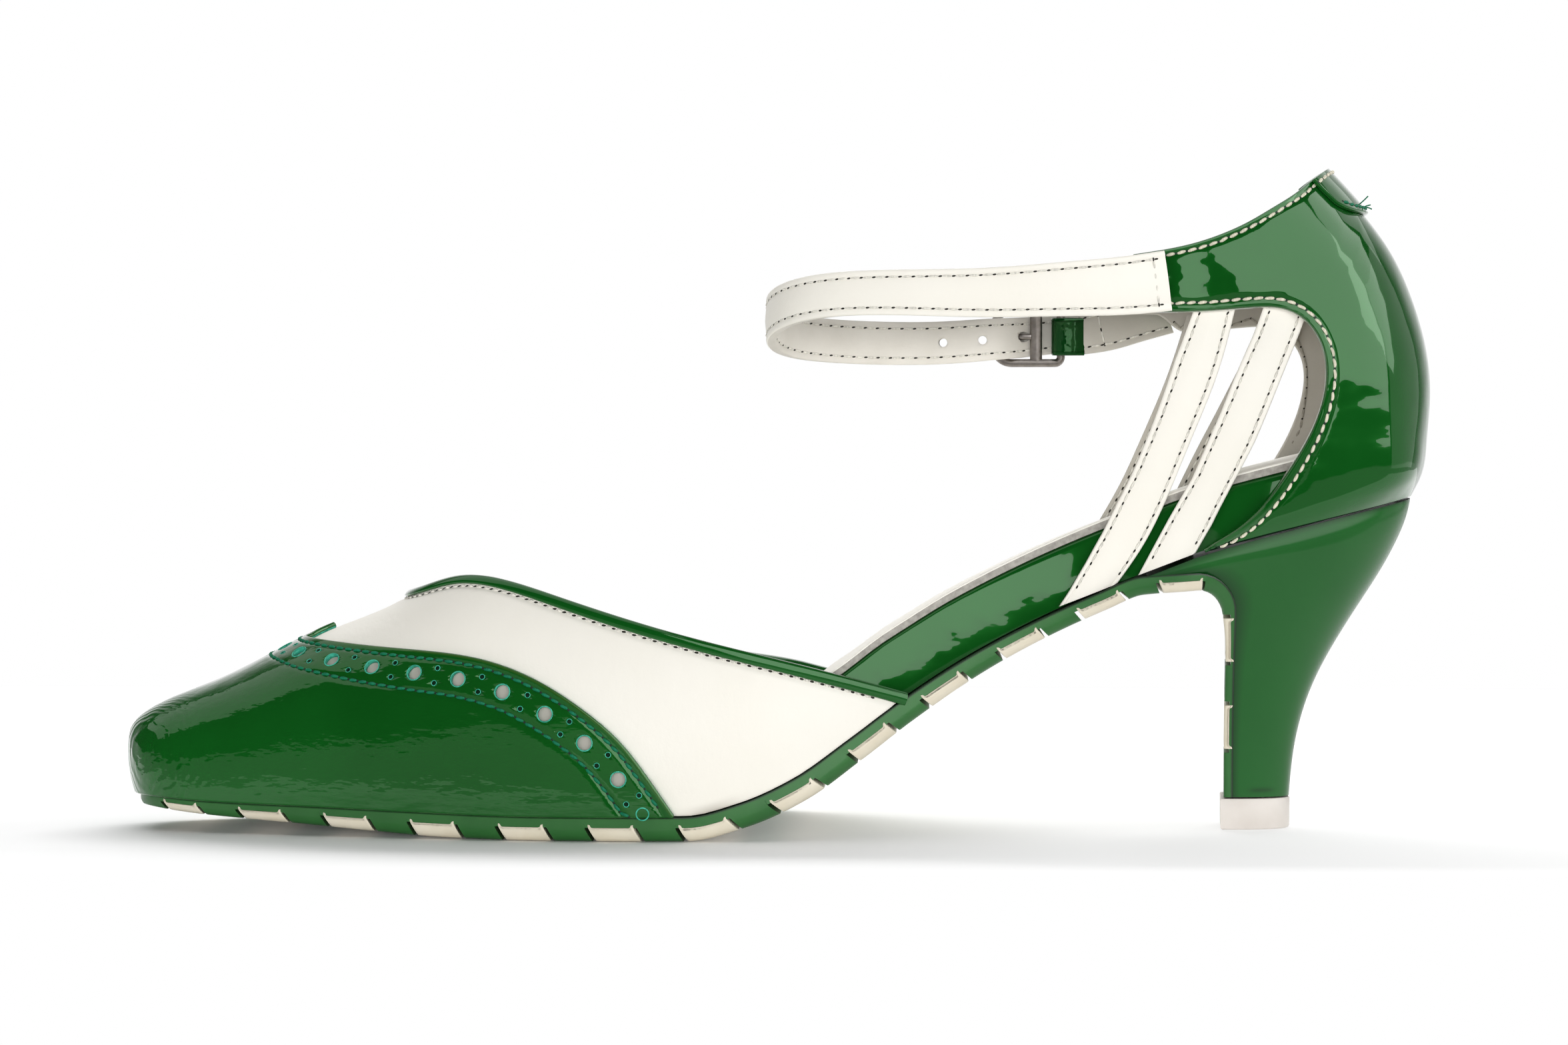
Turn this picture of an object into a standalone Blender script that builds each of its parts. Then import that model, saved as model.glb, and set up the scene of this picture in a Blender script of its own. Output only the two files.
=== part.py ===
"""Kitten heel pump with a cut-out counter, side straps and a buckled ankle strap. Right shoe.

The toe points along -X, the inner (medial) side faces -Y and +Z is up.
The origin is on the floor, under the middle of the shoe. Sizes are in millimetres.
"""

import math
from collections import namedtuple

import bmesh
import bpy
import numpy as np

MM = 0.001
GAP = 0.3  # clearance between neighbouring pieces

# Driving sizes
LENGTH = 250.0
BALL_WIDTH = 75.0
HEEL_HEIGHT = 63.4
TOE_SET_IN = 2.7  # from the tip of the shoe to the tip of the feather line
SEAT_SET_IN = 3.6  # from the back of the shoe to the back of the feather line
TIP_X = TOE_SET_IN - LENGTH / 2
BACK_X = LENGTH / 2 - SEAT_SET_IN
LIFT_THICKNESS = 5.9
VAMP_WALL = 1.6
CAP_WALL = 1.1
CAP_CLEARANCE = 0.45
COUNTER_WALL = 2.4
TAB_WALL = 0.7
FOOTBED_THICKNESS = 10.4
FOREFOOT_THICKNESS = 3.2
INSOLE_THICKNESS = 1.5
STRAP_THICKNESS = 2.0
SIDE_STRAP_THICKNESS = 1.4

# Feather line, where the upper meets the sole: place along the shoe, edges as shares of the ball width
Feather = namedtuple("Feather", "x medial lateral")
FEATHER = [
    Feather(TIP_X, -0.040, -0.040),
    Feather(-121.0, -0.131, 0.051),
    Feather(-118.0, -0.187, 0.105),
    Feather(-112.0, -0.237, 0.156),
    Feather(-100.0, -0.293, 0.219),
    Feather(-80.0, -0.371, 0.307),
    Feather(-58.0, -0.445, 0.392),
    Feather(-38.0, -0.492, 0.456),
    Feather(-22.0, -0.500, 0.492),
    Feather(-6.0, -0.480, 0.500),
    Feather(10.0, -0.424, 0.483),
    Feather(28.0, -0.344, 0.435),
    Feather(46.0, -0.293, 0.376),
    Feather(64.0, -0.280, 0.323),
    Feather(82.0, -0.288, 0.293),
    Feather(97.0, -0.296, 0.293),
    Feather(110.0, -0.267, 0.263),
    Feather(117.0, -0.192, 0.189),
    Feather(120.3, -0.101, 0.099),
    Feather(BACK_X, 0.000, 0.000),
]

# Bed line, the underside of the foot in side view: toe spring, flat ball, arch, heel seat
Bed = namedtuple("Bed", "x z")
BALL_Z = 4.6
FLAT_START_X, FLAT_END_X = -46.0, -16.0
BED = [
    Bed(TIP_X, 6.9),
    Bed(-105.0, 5.9),
    Bed(-85.0, 5.5),
    Bed(-66.0, 5.0),
    Bed(FLAT_START_X, BALL_Z),
    Bed(FLAT_END_X, BALL_Z),
    Bed(-6.0, 6.9),
    Bed(4.0, 11.3),
    Bed(14.0, 18.2),
    Bed(24.0, 25.5),
    Bed(36.0, 33.2),
    Bed(48.0, 39.6),
    Bed(60.0, 45.1),
    Bed(71.0, 49.5),
    Bed(80.0, 52.9),
    Bed(101.0, 58.6),
    Bed(BACK_X, HEEL_HEIGHT),
]

# Outsole: it follows the bed line to the waist, then turns down the front of the heel
SOLE_PROUD = 0.4
SOLE_LEAVES_BED_X = 61.0
WAIST_X, WAIST_DROP = 69.0, 0.7
BREAST_X = 87.1
BREAST_RADIUS = 7.6
BREAST_TOP_Z = 49.3
SOLE_END_Z = LIFT_THICKNESS + GAP
Thickness = namedtuple("Thickness", "path depth")
SOLE_DEPTH = [
    Thickness(0.0, 2.2),
    Thickness(22.0, 3.0),
    Thickness(46.0, 4.1),
    Thickness(60.0, BALL_Z),
    Thickness(120.0, BALL_Z),
    Thickness(150.0, 4.3),
    Thickness(180.0, 3.6),
    Thickness(208.0, 3.4),
    Thickness(220.0, 3.0),
    Thickness(232.0, 2.4),
    Thickness(264.0, 2.4),
]
# Tread: pale bars set between bars of the sole's own colour
BAR_COUNT = 15
BAR_FIRST = 8.8
BAR_PITCH = 16.8
BAR_BEND_INDEX = 13  # bars from here on lie past the bend, on the heel
BAR_BEND_EXTRA = 3.4
BAR_LENGTH = 8.4
BAR_GROOVE = 0.7
BAR_BASE_SHARE = 0.42
SOLE_BEVEL = 1.4

# Crown, the ridge of the vamp from toe to instep
Crown = namedtuple("Crown", "x z y squareness bulge")
CROWN = [
    Crown(TIP_X, 17.2, -3.0, 2.6, 0.0),
    Crown(-120.0, 21.0, -3.0, 2.6, 0.0),
    Crown(-115.0, 23.8, -2.9, 2.6, 0.2),
    Crown(-105.0, 27.8, -2.7, 2.6, 0.6),
    Crown(-95.0, 32.9, -2.3, 2.5, 1.0),
    Crown(-85.0, 37.8, -1.9, 2.4, 1.3),
    Crown(-75.0, 41.8, -1.5, 2.3, 1.6),
    Crown(-70.0, 44.6, -1.4, 2.25, 1.7),
    Crown(-65.0, 48.4, -1.2, 2.2, 1.8),
    Crown(-55.0, 55.0, -1.0, 2.2, 2.0),
    Crown(-42.0, 60.0, -0.8, 2.15, 2.0),
    Crown(-20.0, 64.0, -0.3, 2.1, 2.0),
    Crown(5.0, 68.0, 0.0, 2.1, 1.6),
    Crown(30.0, 75.0, 0.0, 2.1, 1.0),
]
VAMP_STEPS = 15
NOSE_OVERHANG = 1.3
NOSE_REACH = 9.0
NOSE_HEIGHT = 16.0

# Side views of the vamp's top edge and of the toe cap's wing edge
Edge = namedtuple("Edge", "x z")
TOPLINE = [
    Edge(-80.0, 43.2),
    Edge(-70.0, 44.7),
    Edge(-59.0, 48.0),
    Edge(-51.0, 47.6),
    Edge(-40.5, 44.7),
    Edge(-20.0, 38.5),
    Edge(0.0, 33.4),
    Edge(20.0, 28.0),
    Edge(29.0, 25.3),
]
WING = [
    Edge(-100.0, 36.0),
    Edge(-88.4, 35.4),
    Edge(-76.0, 34.6),
    Edge(-65.0, 34.2),
    Edge(-53.8, 33.0),
    Edge(-43.0, 29.2),
    Edge(-34.0, 23.6),
    Edge(-26.5, 16.8),
    Edge(-21.2, 9.6),
    Edge(-17.4, 4.0),
]
LATERAL_DIP = 4.6  # the lateral top edge lies this much lower at the instep
LATERAL_DIP_END = 3.2  # and this much lower at its rear end
WING_POINT_LENGTH = 5.0
WING_POINT_SHARE = 0.045
BINDING_START = 0.012
BINDING_WIDTH = 1.5
BINDING_LEAF = 0.5
BINDING_CLEARANCE = 0.45
BINDING_BEAD = 0.9

# Counter: outline of the heel part at each height, then its edges in side view
Cup = namedtuple("Cup", "z back half")
CUP = [
    Cup(50.0, 117.5, 22.2),
    Cup(58.0, 119.6, 22.5),
    Cup(63.0, 121.2, 22.8),
    Cup(67.0, 123.2, 23.4),
    Cup(74.0, 124.4, 24.4),
    Cup(83.0, 125.0, 25.0),
    Cup(92.0, 124.1, 24.9),
    Cup(101.0, 121.5, 24.2),
    Cup(110.0, 117.4, 23.0),
    Cup(118.0, 111.6, 21.4),
    Cup(127.0, 103.4, 19.4),
]
CUP_DEPTH = 25.0
CUP_SQUARENESS = 2.3
BAND_FRONT_X = 67.5
COUNTER_TOE_X = 80.8
LATERAL_DROP = 2.7
CUTOUT = [
    Edge(82.9, 54.8),
    Edge(87.5, 57.8),
    Edge(92.5, 62.6),
    Edge(96.2, 67.6),
    Edge(100.0, 74.0),
    Edge(102.7, 80.7),
    Edge(103.6, 86.8),
    Edge(102.6, 92.4),
    Edge(99.8, 96.6),
    Edge(95.6, 99.0),
    Edge(90.4, 99.4),
    Edge(82.4, 98.8),
    Edge(BAND_FRONT_X, 98.6),
]
COLLAR = [
    Edge(104.6, 125.4),
    Edge(102.8, 124.2),
    Edge(98.8, 121.0),
    Edge(94.0, 117.9),
    Edge(89.1, 115.0),
    Edge(84.1, 112.7),
    Edge(79.1, 111.0),
    Edge(BAND_FRONT_X, 108.8),
]
TAB_HALF_SPAN = 0.19
TAB_DROP = 5.2

# Heel: levels from the lift to the seat. rise is the path up the breast, then the back edge
Level = namedtuple("Level", "rise back_x back_z half squareness")
HEEL = [
    Level(0.0, 98.4, 6.2, 7.9, 2.6),
    Level(8.5, 99.3, 14.9, 8.3, 2.6),
    Level(18.0, 101.6, 24.2, 9.8, 2.6),
    Level(27.0, 105.7, 33.3, 12.6, 2.6),
    Level(34.0, 110.9, 42.0, 16.0, 2.7),
    Level(41.0, 116.0, 50.2, 19.0, 2.8),
    Level(47.0, 119.2, 56.6, 20.9, 3.0),
    Level(57.0, 121.1, 63.0, 21.6, 3.2),
]
HEEL_BEND_START, HEEL_BEND_END = 34.0, 48.0  # rises between which the breast turns forward
LIFT_FRONT_X = 84.8
LIFT_BACK_X = 98.5
LIFT_HALF = 8.5

# Footbed and insole lie inside the upper
FOOTBED_INSET = 2.9
INSOLE_INSET = 3.4
FOOTBED_FULL_X, FOREFOOT_FULL_X = 6.0, -42.0
FOOTBED_TILT = 1.2

# Side straps in side view, both edges, from the sole to behind the band
Span = namedtuple("Span", "front_x front_z rear_x rear_z")
SIDE_STRAPS = {
    "front": [
        Span(55.4, 43.0, 64.2, 46.8),
        Span(62.0, 55.6, 69.6, 54.4),
        Span(67.2, 64.8, 74.6, 64.0),
        Span(72.0, 75.6, 79.4, 75.0),
        Span(75.9, 86.2, 84.2, 86.4),
        Span(79.4, 97.6, 87.6, 97.8),
        Span(80.5, 101.4, 88.5, 101.4),
    ],
    "rear": [
        Span(69.2, 48.8, 79.2, 52.6),
        Span(74.4, 59.9, 82.2, 59.2),
        Span(79.4, 70.3, 86.9, 68.2),
        Span(84.4, 80.8, 91.8, 78.2),
        Span(89.0, 91.2, 96.6, 89.0),
        Span(92.4, 98.6, 100.0, 96.8),
        Span(93.6, 101.4, 101.2, 100.0),
    ],
}
# On the lateral side each strap sits a little further back or forward
LATERAL_STRAP_SHIFT = {"front": 0.5, "rear": -1.0}

# Ankle strap: middle line from the inner end round the front to the tip, with its width
Strap = namedtuple("Strap", "x y z width")
ANKLE_STRAP = [
    Strap(66.0, -27.2, 103.0, 10.9),
    Strap(56.0, -27.8, 102.4, 10.2),
    Strap(40.0, -27.6, 101.7, 9.2),
    Strap(21.0, -25.2, 101.8, 8.4),
    Strap(8.4, -19.2, 101.2, 8.2),
    Strap(1.3, -10.4, 99.4, 8.2),
    Strap(-1.0, -0.6, 97.1, 8.2),
    Strap(1.1, 9.4, 95.0, 8.4),
    Strap(8.4, 18.2, 93.8, 8.5),
    Strap(20.0, 23.6, 93.3, 8.5),
    Strap(34.0, 24.8, 93.5, 8.4),
    Strap(42.4, 24.3, 94.1, 8.2),
    Strap(46.5, 26.9, 94.4, 8.0),
    Strap(50.8, 29.9, 94.8, 7.8),
    Strap(56.2, 30.6, 95.3, 7.6),
    Strap(62.5, 30.8, 96.0, 7.4),
    Strap(69.5, 30.4, 96.8, 6.2),
]
STRAP_OVERLAP_X = 73.5
BAND_LEAN = 0.9  # the band leans in, so an upright strap stands off its middle
STRAP_HOLE_RADIUS = 0.85
STRAP_HOLE_X = (32.1, 40.2, 57.8, 65.6)

# Buckle on the outer side, with the keeper that holds it to the short strap
BUCKLE_Y, BUCKLE_Z = 27.0, 94.6
BUCKLE_FRONT_X, BUCKLE_BAR_X, BUCKLE_REAR_X = 42.2, 50.6, 55.5
BUCKLE_HALF_HEIGHT = 6.0
BUCKLE_WIRE = 0.8
BUCKLE_FRONT_RADIUS, BUCKLE_REAR_RADIUS = 3.6, 1.2
PRONG_RADIUS = 0.6
KEEPER_LEAF = 0.8
KEEPER_HALF_HEIGHT = 3.7
KEEPER_END_X = 60.0
BUCKLE_STRAP = [
    Strap(76.0, 26.4, 100.6, 11.0),
    Strap(70.0, 26.9, 98.4, 10.0),
    Strap(64.6, BUCKLE_Y, 96.3, 8.9),
    Strap(KEEPER_END_X + 1.0, BUCKLE_Y, 95.3, 8.4),
]


def column(rows, name):
    return np.array([getattr(row, name) for row in rows])


def monotone(at, xs, ys):
    """Cubic curve through the points that never overshoots them, read at a place."""
    step = np.diff(xs)
    slope = np.diff(ys) / step
    both = slope[:-1] * slope[1:]
    total = slope[:-1] + slope[1:]
    turn = np.where(both > 0, 2 * both / np.where(both > 0, total, 1), 0)
    tangent = np.concatenate([slope[:1], turn, slope[-1:]])
    at = np.clip(at, xs[0], xs[-1])
    i = np.clip(np.searchsorted(xs, at, side="right") - 1, 0, len(xs) - 2)
    t = (at - xs[i]) / step[i]
    return (
        ys[i] * (1 + 2 * t) * (1 - t) ** 2
        + ys[i + 1] * t * t * (3 - 2 * t)
        + step[i] * t * (1 - t) * (tangent[i] * (1 - t) - tangent[i + 1] * t)
    )


def spline(at, xs, ys):
    """Smooth cubic curve through the points, read at a place."""
    count, step = len(xs), np.diff(xs)
    matrix, right = np.eye(count), np.zeros(count)
    for i in range(1, count - 1):
        matrix[i, i - 1 : i + 2] = step[i - 1], 2 * (step[i - 1] + step[i]), step[i]
        right[i] = 6 * ((ys[i + 1] - ys[i]) / step[i] - (ys[i] - ys[i - 1]) / step[i - 1])
    bend = np.linalg.solve(matrix, right)
    at = np.clip(at, xs[0], xs[-1])
    i = np.clip(np.searchsorted(xs, at, side="right") - 1, 0, count - 2)
    t, h = (at - xs[i]) / step[i], step[i]
    curve = (t**3 - t) * bend[i + 1] + ((1 - t) ** 3 - (1 - t)) * bend[i]
    return (1 - t) * ys[i] + t * ys[i + 1] + curve * h * h / 6


def unit(vectors):
    return vectors / np.linalg.norm(vectors, axis=-1, keepdims=True)


def smoothstep(t):
    t = np.clip(t, 0, 1)
    return t * t * (3 - 2 * t)


def outline_angle(x):
    """Angle that spreads the two rounded ends of the feather line."""
    middle, half = (TIP_X + BACK_X) / 2, (BACK_X - TIP_X) / 2
    return np.arccos(np.clip((middle - x) / half, -1, 1))


def outline_stations(count, inset=0.0):
    """Places along the shoe, close together at the two rounded ends."""
    angle = np.linspace(0, math.pi, count)
    middle, half = (TIP_X + BACK_X) / 2, (BACK_X - TIP_X) / 2 - inset
    return middle - half * np.cos(angle)


def feather(x):
    """The medial and lateral edges of the feather line."""
    angles = outline_angle(column(FEATHER, "x"))
    at = outline_angle(x)
    return (
        BALL_WIDTH * spline(at, angles, column(FEATHER, "medial")),
        BALL_WIDTH * spline(at, angles, column(FEATHER, "lateral")),
    )


def inset_outline(count, inset):
    """The feather line moved in by inset all round: places along the shoe and both edges."""
    x = outline_stations(count, inset)
    share = (x - x[0]) / (x[-1] - x[0])
    medial, lateral = feather(TIP_X + share * (BACK_X - TIP_X))
    middle, half = (medial + lateral) / 2, (lateral - medial) / 2
    kept = half - inset * smoothstep(half / (3 * inset))
    kept = np.maximum(kept, 0.4)
    return x, middle - kept, middle + kept


def bed(x):
    return monotone(x, column(BED, "x"), column(BED, "z"))


def bed_slope(x):
    return (bed(x + 1) - bed(x - 1)) / 2


def make_material(name, color, roughness, metallic=0.0):
    material = bpy.data.materials.new(name)
    material.use_nodes = True
    shader = material.node_tree.nodes["Principled BSDF"]
    shader.inputs["Base Color"].default_value = (*color, 1)
    shader.inputs["Roughness"].default_value = roughness
    shader.inputs["Metallic"].default_value = metallic
    return material


def add_object(name, mesh_data, material):
    mesh = bpy.data.meshes.new(name)
    mesh_data.to_mesh(mesh)
    mesh_data.free()
    mesh.shade_smooth()
    mesh.set_sharp_from_angle(angle=math.radians(35))
    obj = bpy.data.objects.new(name, mesh)
    bpy.context.scene.collection.objects.link(obj)
    obj.data.materials.append(material)
    return obj


def add_loft(name, sections, material, closed=False):
    """Solid through loops of points, with flat ends or closed into a ring."""
    solid = bmesh.new()
    loops = [[solid.verts.new(point * MM) for point in loop] for loop in sections]
    pairs = list(zip(loops, loops[1:]))
    if closed:
        pairs.append((loops[-1], loops[0]))
    else:
        solid.faces.new(loops[0])
        solid.faces.new(loops[-1])
    for first, second in pairs:
        for i in range(len(first)):
            j = (i + 1) % len(first)
            solid.faces.new((first[i], first[j], second[j], second[i]))
    bmesh.ops.recalc_face_normals(solid, faces=solid.faces)
    return add_object(name, solid, material)


def add_sheet(name, grids, material, wall, lift=0.0):
    """Wall of even thickness behind a face made of point grids, welded where they meet.

    lift moves the outer face out from the grids, and the wall lies inside it.
    """
    face = bmesh.new()
    for grid in grids:
        verts = [[face.verts.new(point * MM) for point in row] for row in grid]
        for row, after in zip(verts, verts[1:]):
            for i in range(len(row) - 1):
                face.faces.new((row[i], row[i + 1], after[i + 1], after[i]))
    bmesh.ops.remove_doubles(face, verts=face.verts, dist=0.01 * MM)
    face.normal_update()
    if lift:
        moves = [vert.normal * lift * MM for vert in face.verts]
        for vert, move in zip(face.verts, moves):
            vert.co += move
    obj = add_object(name, face, material)
    thicken = obj.modifiers.new("wall", "SOLIDIFY")
    thicken.thickness = wall * MM
    thicken.offset = -1
    thicken.use_even_offset = True
    return obj


def cut(obj, cutter):
    """Takes the cutter's shape out of an object."""
    cutter.hide_render = True
    cutter.display_type = "WIRE"
    modifier = obj.modifiers.new("cut_" + cutter.name, "BOOLEAN")
    modifier.operation = "DIFFERENCE"
    modifier.object = cutter


def sole_path(count):
    """Inner face of the outsole in side view: points from toe to lift, their lengths and normals."""
    along = outline_stations(count)
    along = along[along < SOLE_LEAVES_BED_X]
    waist = np.linspace(SOLE_LEAVES_BED_X, BREAST_X - BREAST_RADIUS, count // 8)
    waist_ends = np.array([SOLE_LEAVES_BED_X - 10, SOLE_LEAVES_BED_X, WAIST_X, BREAST_X - BREAST_RADIUS])
    waist_z = np.append(bed(waist_ends[:2]), [BREAST_TOP_Z - WAIST_DROP, BREAST_TOP_Z])
    turn = np.linspace(0, math.pi / 2, count // 8)[1:]
    drop = np.linspace(BREAST_TOP_Z - BREAST_RADIUS, SOLE_END_Z, count // 8)[1:]
    x = np.concatenate(
        [
            along,
            waist,
            BREAST_X - BREAST_RADIUS * (1 - np.sin(turn)),
            np.full(len(drop), BREAST_X),
        ]
    )
    z = np.concatenate(
        [
            bed(along),
            monotone(waist, waist_ends, waist_z),
            BREAST_TOP_Z - BREAST_RADIUS * (1 - np.cos(turn)),
            drop,
        ]
    )
    points = np.stack([x, z], axis=1)
    steps = np.linalg.norm(np.diff(points, axis=0), axis=1)
    length = np.concatenate([[0], np.cumsum(steps)])
    tangent = unit(np.gradient(points, length, axis=0))
    normal = np.stack([-tangent[:, 1], tangent[:, 0]], axis=1)
    return points, length, normal


SOLE_POINTS, SOLE_LENGTH, SOLE_NORMAL = sole_path(400)


def on_sole(path, depth):
    """Place in side view at a length along the sole path and a depth below its inner face."""
    x = np.interp(path, SOLE_LENGTH, SOLE_POINTS[:, 0])
    z = np.interp(path, SOLE_LENGTH, SOLE_POINTS[:, 1])
    nx = np.interp(path, SOLE_LENGTH, SOLE_NORMAL[:, 0])
    nz = np.interp(path, SOLE_LENGTH, SOLE_NORMAL[:, 1])
    return x - nx * depth, z - nz * depth


def sole_depth(path):
    return monotone(path, column(SOLE_DEPTH, "path"), column(SOLE_DEPTH, "depth"))


def sole_edges(path):
    """Both edges of the sole, from the feather line and then down the heel's front corners."""
    x, z = on_sole(path, 0.0)
    medial, lateral = feather(np.minimum(x, BREAST_X))
    rise = SOLE_LENGTH[-1] - path
    half = spline(rise, column(HEEL, "rise"), column(HEEL, "half"))
    share = smoothstep((rise - column(HEEL, "rise")[-3]) / (HEEL_BEND_END - HEEL_BEND_START))
    medial = share * medial - (1 - share) * half
    lateral = share * lateral + (1 - share) * half
    return medial - SOLE_PROUD, lateral + SOLE_PROUD


def sole_section(path, top, bottom, bevel):
    """Loop across the sole between two depths, with its lower edges bevelled."""
    medial, lateral = sole_edges(path)
    bevel = min(bevel, 0.45 * (bottom - top), 0.3 * (lateral - medial))
    loop = []
    for y, depth in (
        (medial, top),
        (lateral, top),
        (lateral, bottom - bevel),
        (lateral - bevel, bottom),
        (medial + bevel, bottom),
        (medial, bottom - bevel),
    ):
        x, z = on_sole(path, depth)
        loop.append((x, y, z))
    return np.array(loop)


def bar_ends(index):
    middle = BAR_FIRST + BAR_PITCH * index
    if index >= BAR_BEND_INDEX:
        middle += BAR_BEND_EXTRA
    return middle - BAR_LENGTH / 2, middle + BAR_LENGTH / 2


def sole_stations():
    """Lengths along the sole where its section changes, each with whether the tread is there."""
    wall = 0.05
    stations = [(path, True) for path in (0.05, 0.4, 1.1, 2.2)]
    for index in range(BAR_COUNT):
        front, rear = bar_ends(index)
        front, rear = front - BAR_GROOVE, rear + BAR_GROOVE
        middle = (front + rear) / 2
        stations += [(front - wall, True), (front + wall, False), (middle, False)]
        stations += [(rear - wall, False), (rear + wall, True)]
        stations.append((middle + BAR_PITCH / 2, True))
    end = SOLE_LENGTH[-1]
    return [s for s in stations if s[0] < end - 1] + [(end, True)]


def make_outsole(material):
    sections = []
    for path, tread in sole_stations():
        depth = float(sole_depth(path))
        if not tread:
            depth *= BAR_BASE_SHARE
        sections.append(sole_section(path, 0.0, depth, SOLE_BEVEL if tread else 0.2))
    add_loft("outsole", sections, material)


def make_tread_bars(material):
    for index in range(BAR_COUNT):
        front, rear = bar_ends(index)
        sections = []
        for path in np.linspace(front, rear, 3):
            depth = float(sole_depth(path))
            top = depth * BAR_BASE_SHARE + GAP
            sections.append(sole_section(path, top, depth, SOLE_BEVEL))
        add_loft(f"tread_bar_{index + 1:02d}", sections, material)


def heel_loop(level, count, top):
    """D-shaped loop of the heel, flat at the breast and round at the back."""
    front_x, front_z = on_sole(SOLE_LENGTH[-1] - level.rise, -GAP)
    angle = np.linspace(-math.pi / 2, math.pi / 2, count)
    power = 2 / level.squareness
    share = np.cos(angle) ** power
    share[0] = share[-1] = 0
    y = level.half * np.sign(np.sin(angle)) * np.abs(np.sin(angle)) ** power
    x = front_x + (level.back_x - front_x) * share
    z = front_z + (level.back_z - front_z) * share
    if top:
        z = bed(x) - GAP
    return np.stack([x, y, z], axis=1)


def make_heel(material):
    rises = column(HEEL, "rise")
    steps = np.concatenate(
        [
            np.linspace(0, HEEL_BEND_START, 8)[:-1],
            np.linspace(HEEL_BEND_START, HEEL_BEND_END, 9),
            np.linspace(HEEL_BEND_END, rises[-1], 4)[1:],
        ]
    )
    names = ("back_x", "back_z", "half", "squareness")
    columns = [spline(steps, rises, column(HEEL, name)) for name in names]
    levels = [Level(*row) for row in zip(steps, *columns)]
    sections = [heel_loop(level, 19, level is levels[-1]) for level in levels]
    add_loft("heel", sections, material)


def make_top_lift(material):
    count = 17
    angle = np.linspace(-math.pi / 2, math.pi / 2, count)
    power = 2 / HEEL[0].squareness
    share = np.cos(angle) ** power
    share[0] = share[-1] = 0
    side = np.sign(np.sin(angle)) * np.abs(np.sin(angle)) ** power
    taper = 0.35
    sections = []
    for z, shrink in ((0.0, taper), (taper, 0.0), (LIFT_THICKNESS, 0.0)):
        x = LIFT_FRONT_X + shrink + (LIFT_BACK_X - LIFT_FRONT_X - 2 * shrink) * share
        sections.append(np.stack([x, (LIFT_HALF - shrink) * side, np.full(count, z)], axis=1))
    add_loft("top_lift", sections, material)


def footbed_tilt(x):
    """How far the lateral edge of the footbed lies below the medial one."""
    return FOOTBED_TILT * smoothstep((x + 20) / 40) * smoothstep((95 - x) / 30)


def footbed_top(x):
    """Height of the footbed's medial upper edge: full under arch and heel, thin under the ball."""
    share = smoothstep((x - FOREFOOT_FULL_X) / (FOOTBED_FULL_X - FOREFOOT_FULL_X))
    thickness = FOREFOOT_THICKNESS + (FOOTBED_THICKNESS - FOREFOOT_THICKNESS) * share
    return bed(x) + GAP + thickness * np.sqrt(1 + bed_slope(x) ** 2)


def add_slab(name, inset, low, high, edge, count, material, whole_tilt=False):
    """Slab with the feather line's outline, between two heights, with softened upper edges."""
    sections = []
    for x, medial, lateral in zip(*inset_outline(count, inset)):
        z_low, z_high, tilt = float(low(x)), float(high(x)), float(footbed_tilt(x))
        low_tilt = tilt if whole_tilt else 0.0
        soft = min(edge, 0.4 * (lateral - medial), 0.5 * (z_high - z_low))
        loop = [
            (x, medial, z_low),
            (x, medial, z_high - soft),
            (x, medial + soft, z_high),
            (x, lateral - soft, z_high - tilt),
            (x, lateral, z_high - soft - tilt),
            (x, lateral, z_low - low_tilt),
        ]
        sections.append(np.array(loop))
    add_loft(name, sections, material)


def make_footbed(material):
    add_slab("footbed", FOOTBED_INSET, lambda x: bed(x) + GAP, footbed_top, 1.0, 40, material)


def make_insole(material):
    def low(x):
        return footbed_top(x) + GAP

    def high(x):
        return footbed_top(x) + GAP + INSOLE_THICKNESS

    add_slab("insole", INSOLE_INSET, low, high, 0.4, 40, material, whole_tilt=True)


def crown(x, name):
    """One column of the crown table, read with its stations spread out at the toe."""
    spread = np.sqrt(np.maximum(column(CROWN, "x") - TIP_X, 0))
    return spline(np.sqrt(np.maximum(x - TIP_X, 0)), spread, column(CROWN, name))


def vamp_point(x, girth):
    """Outer face of the vamp. girth runs from the medial feather edge, 0, over the foot to 1."""
    medial, lateral = feather(x)
    low = bed(x) + GAP
    angle = math.pi * girth
    power = 2 / crown(x, "squareness")
    across = np.abs(np.cos(angle)) ** power
    up = np.abs(np.sin(angle)) ** power
    middle = crown(x, "y")
    side = np.where(girth < 0.5, medial, lateral)
    y = middle + (side - middle) * across - crown(x, "bulge") * np.sin(2 * angle)
    z = low + (crown(x, "z") - low) * up
    rise = np.clip((z - low) / NOSE_HEIGHT, 0, 1)
    nose = NOSE_OVERHANG * np.exp((TIP_X - x) / NOSE_REACH) * 4 * rise * (1 - rise)
    return np.stack([x - nose, y, z], axis=-1)


def girth_stations(half_count):
    """Steps over the foot, closer together by the sole."""
    half = 0.5 * np.linspace(0, 1, half_count + 1) ** 1.6
    return np.concatenate([half, 1 - half[-2::-1]])


def lateral_dip(x):
    """How far the lateral top edge of the vamp lies below the medial one."""
    eased = (LATERAL_DIP - LATERAL_DIP_END) * smoothstep((x + 15) / 20)
    return LATERAL_DIP * smoothstep((x + 68) / 28) - eased


def edge_along(girth, rows, dip=False):
    """Where each girth line of the vamp rises through an edge given in side view."""
    x = np.linspace(rows[0].x, rows[-1].x, 1600)
    edge_z = spline(x, column(rows, "x"), column(rows, "z"))
    ends = []
    for g in girth:
        lower = lateral_dip(x) if dip and g > 0.5 else 0
        above = vamp_point(x, np.full_like(x, g))[:, 2] - edge_z + lower
        crossing = int(np.argmax(above > 0))
        before, after = above[crossing - 1], above[crossing]
        ends.append(x[crossing] - (x[1] - x[0]) * after / (after - before))
    return np.array(ends)


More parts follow.
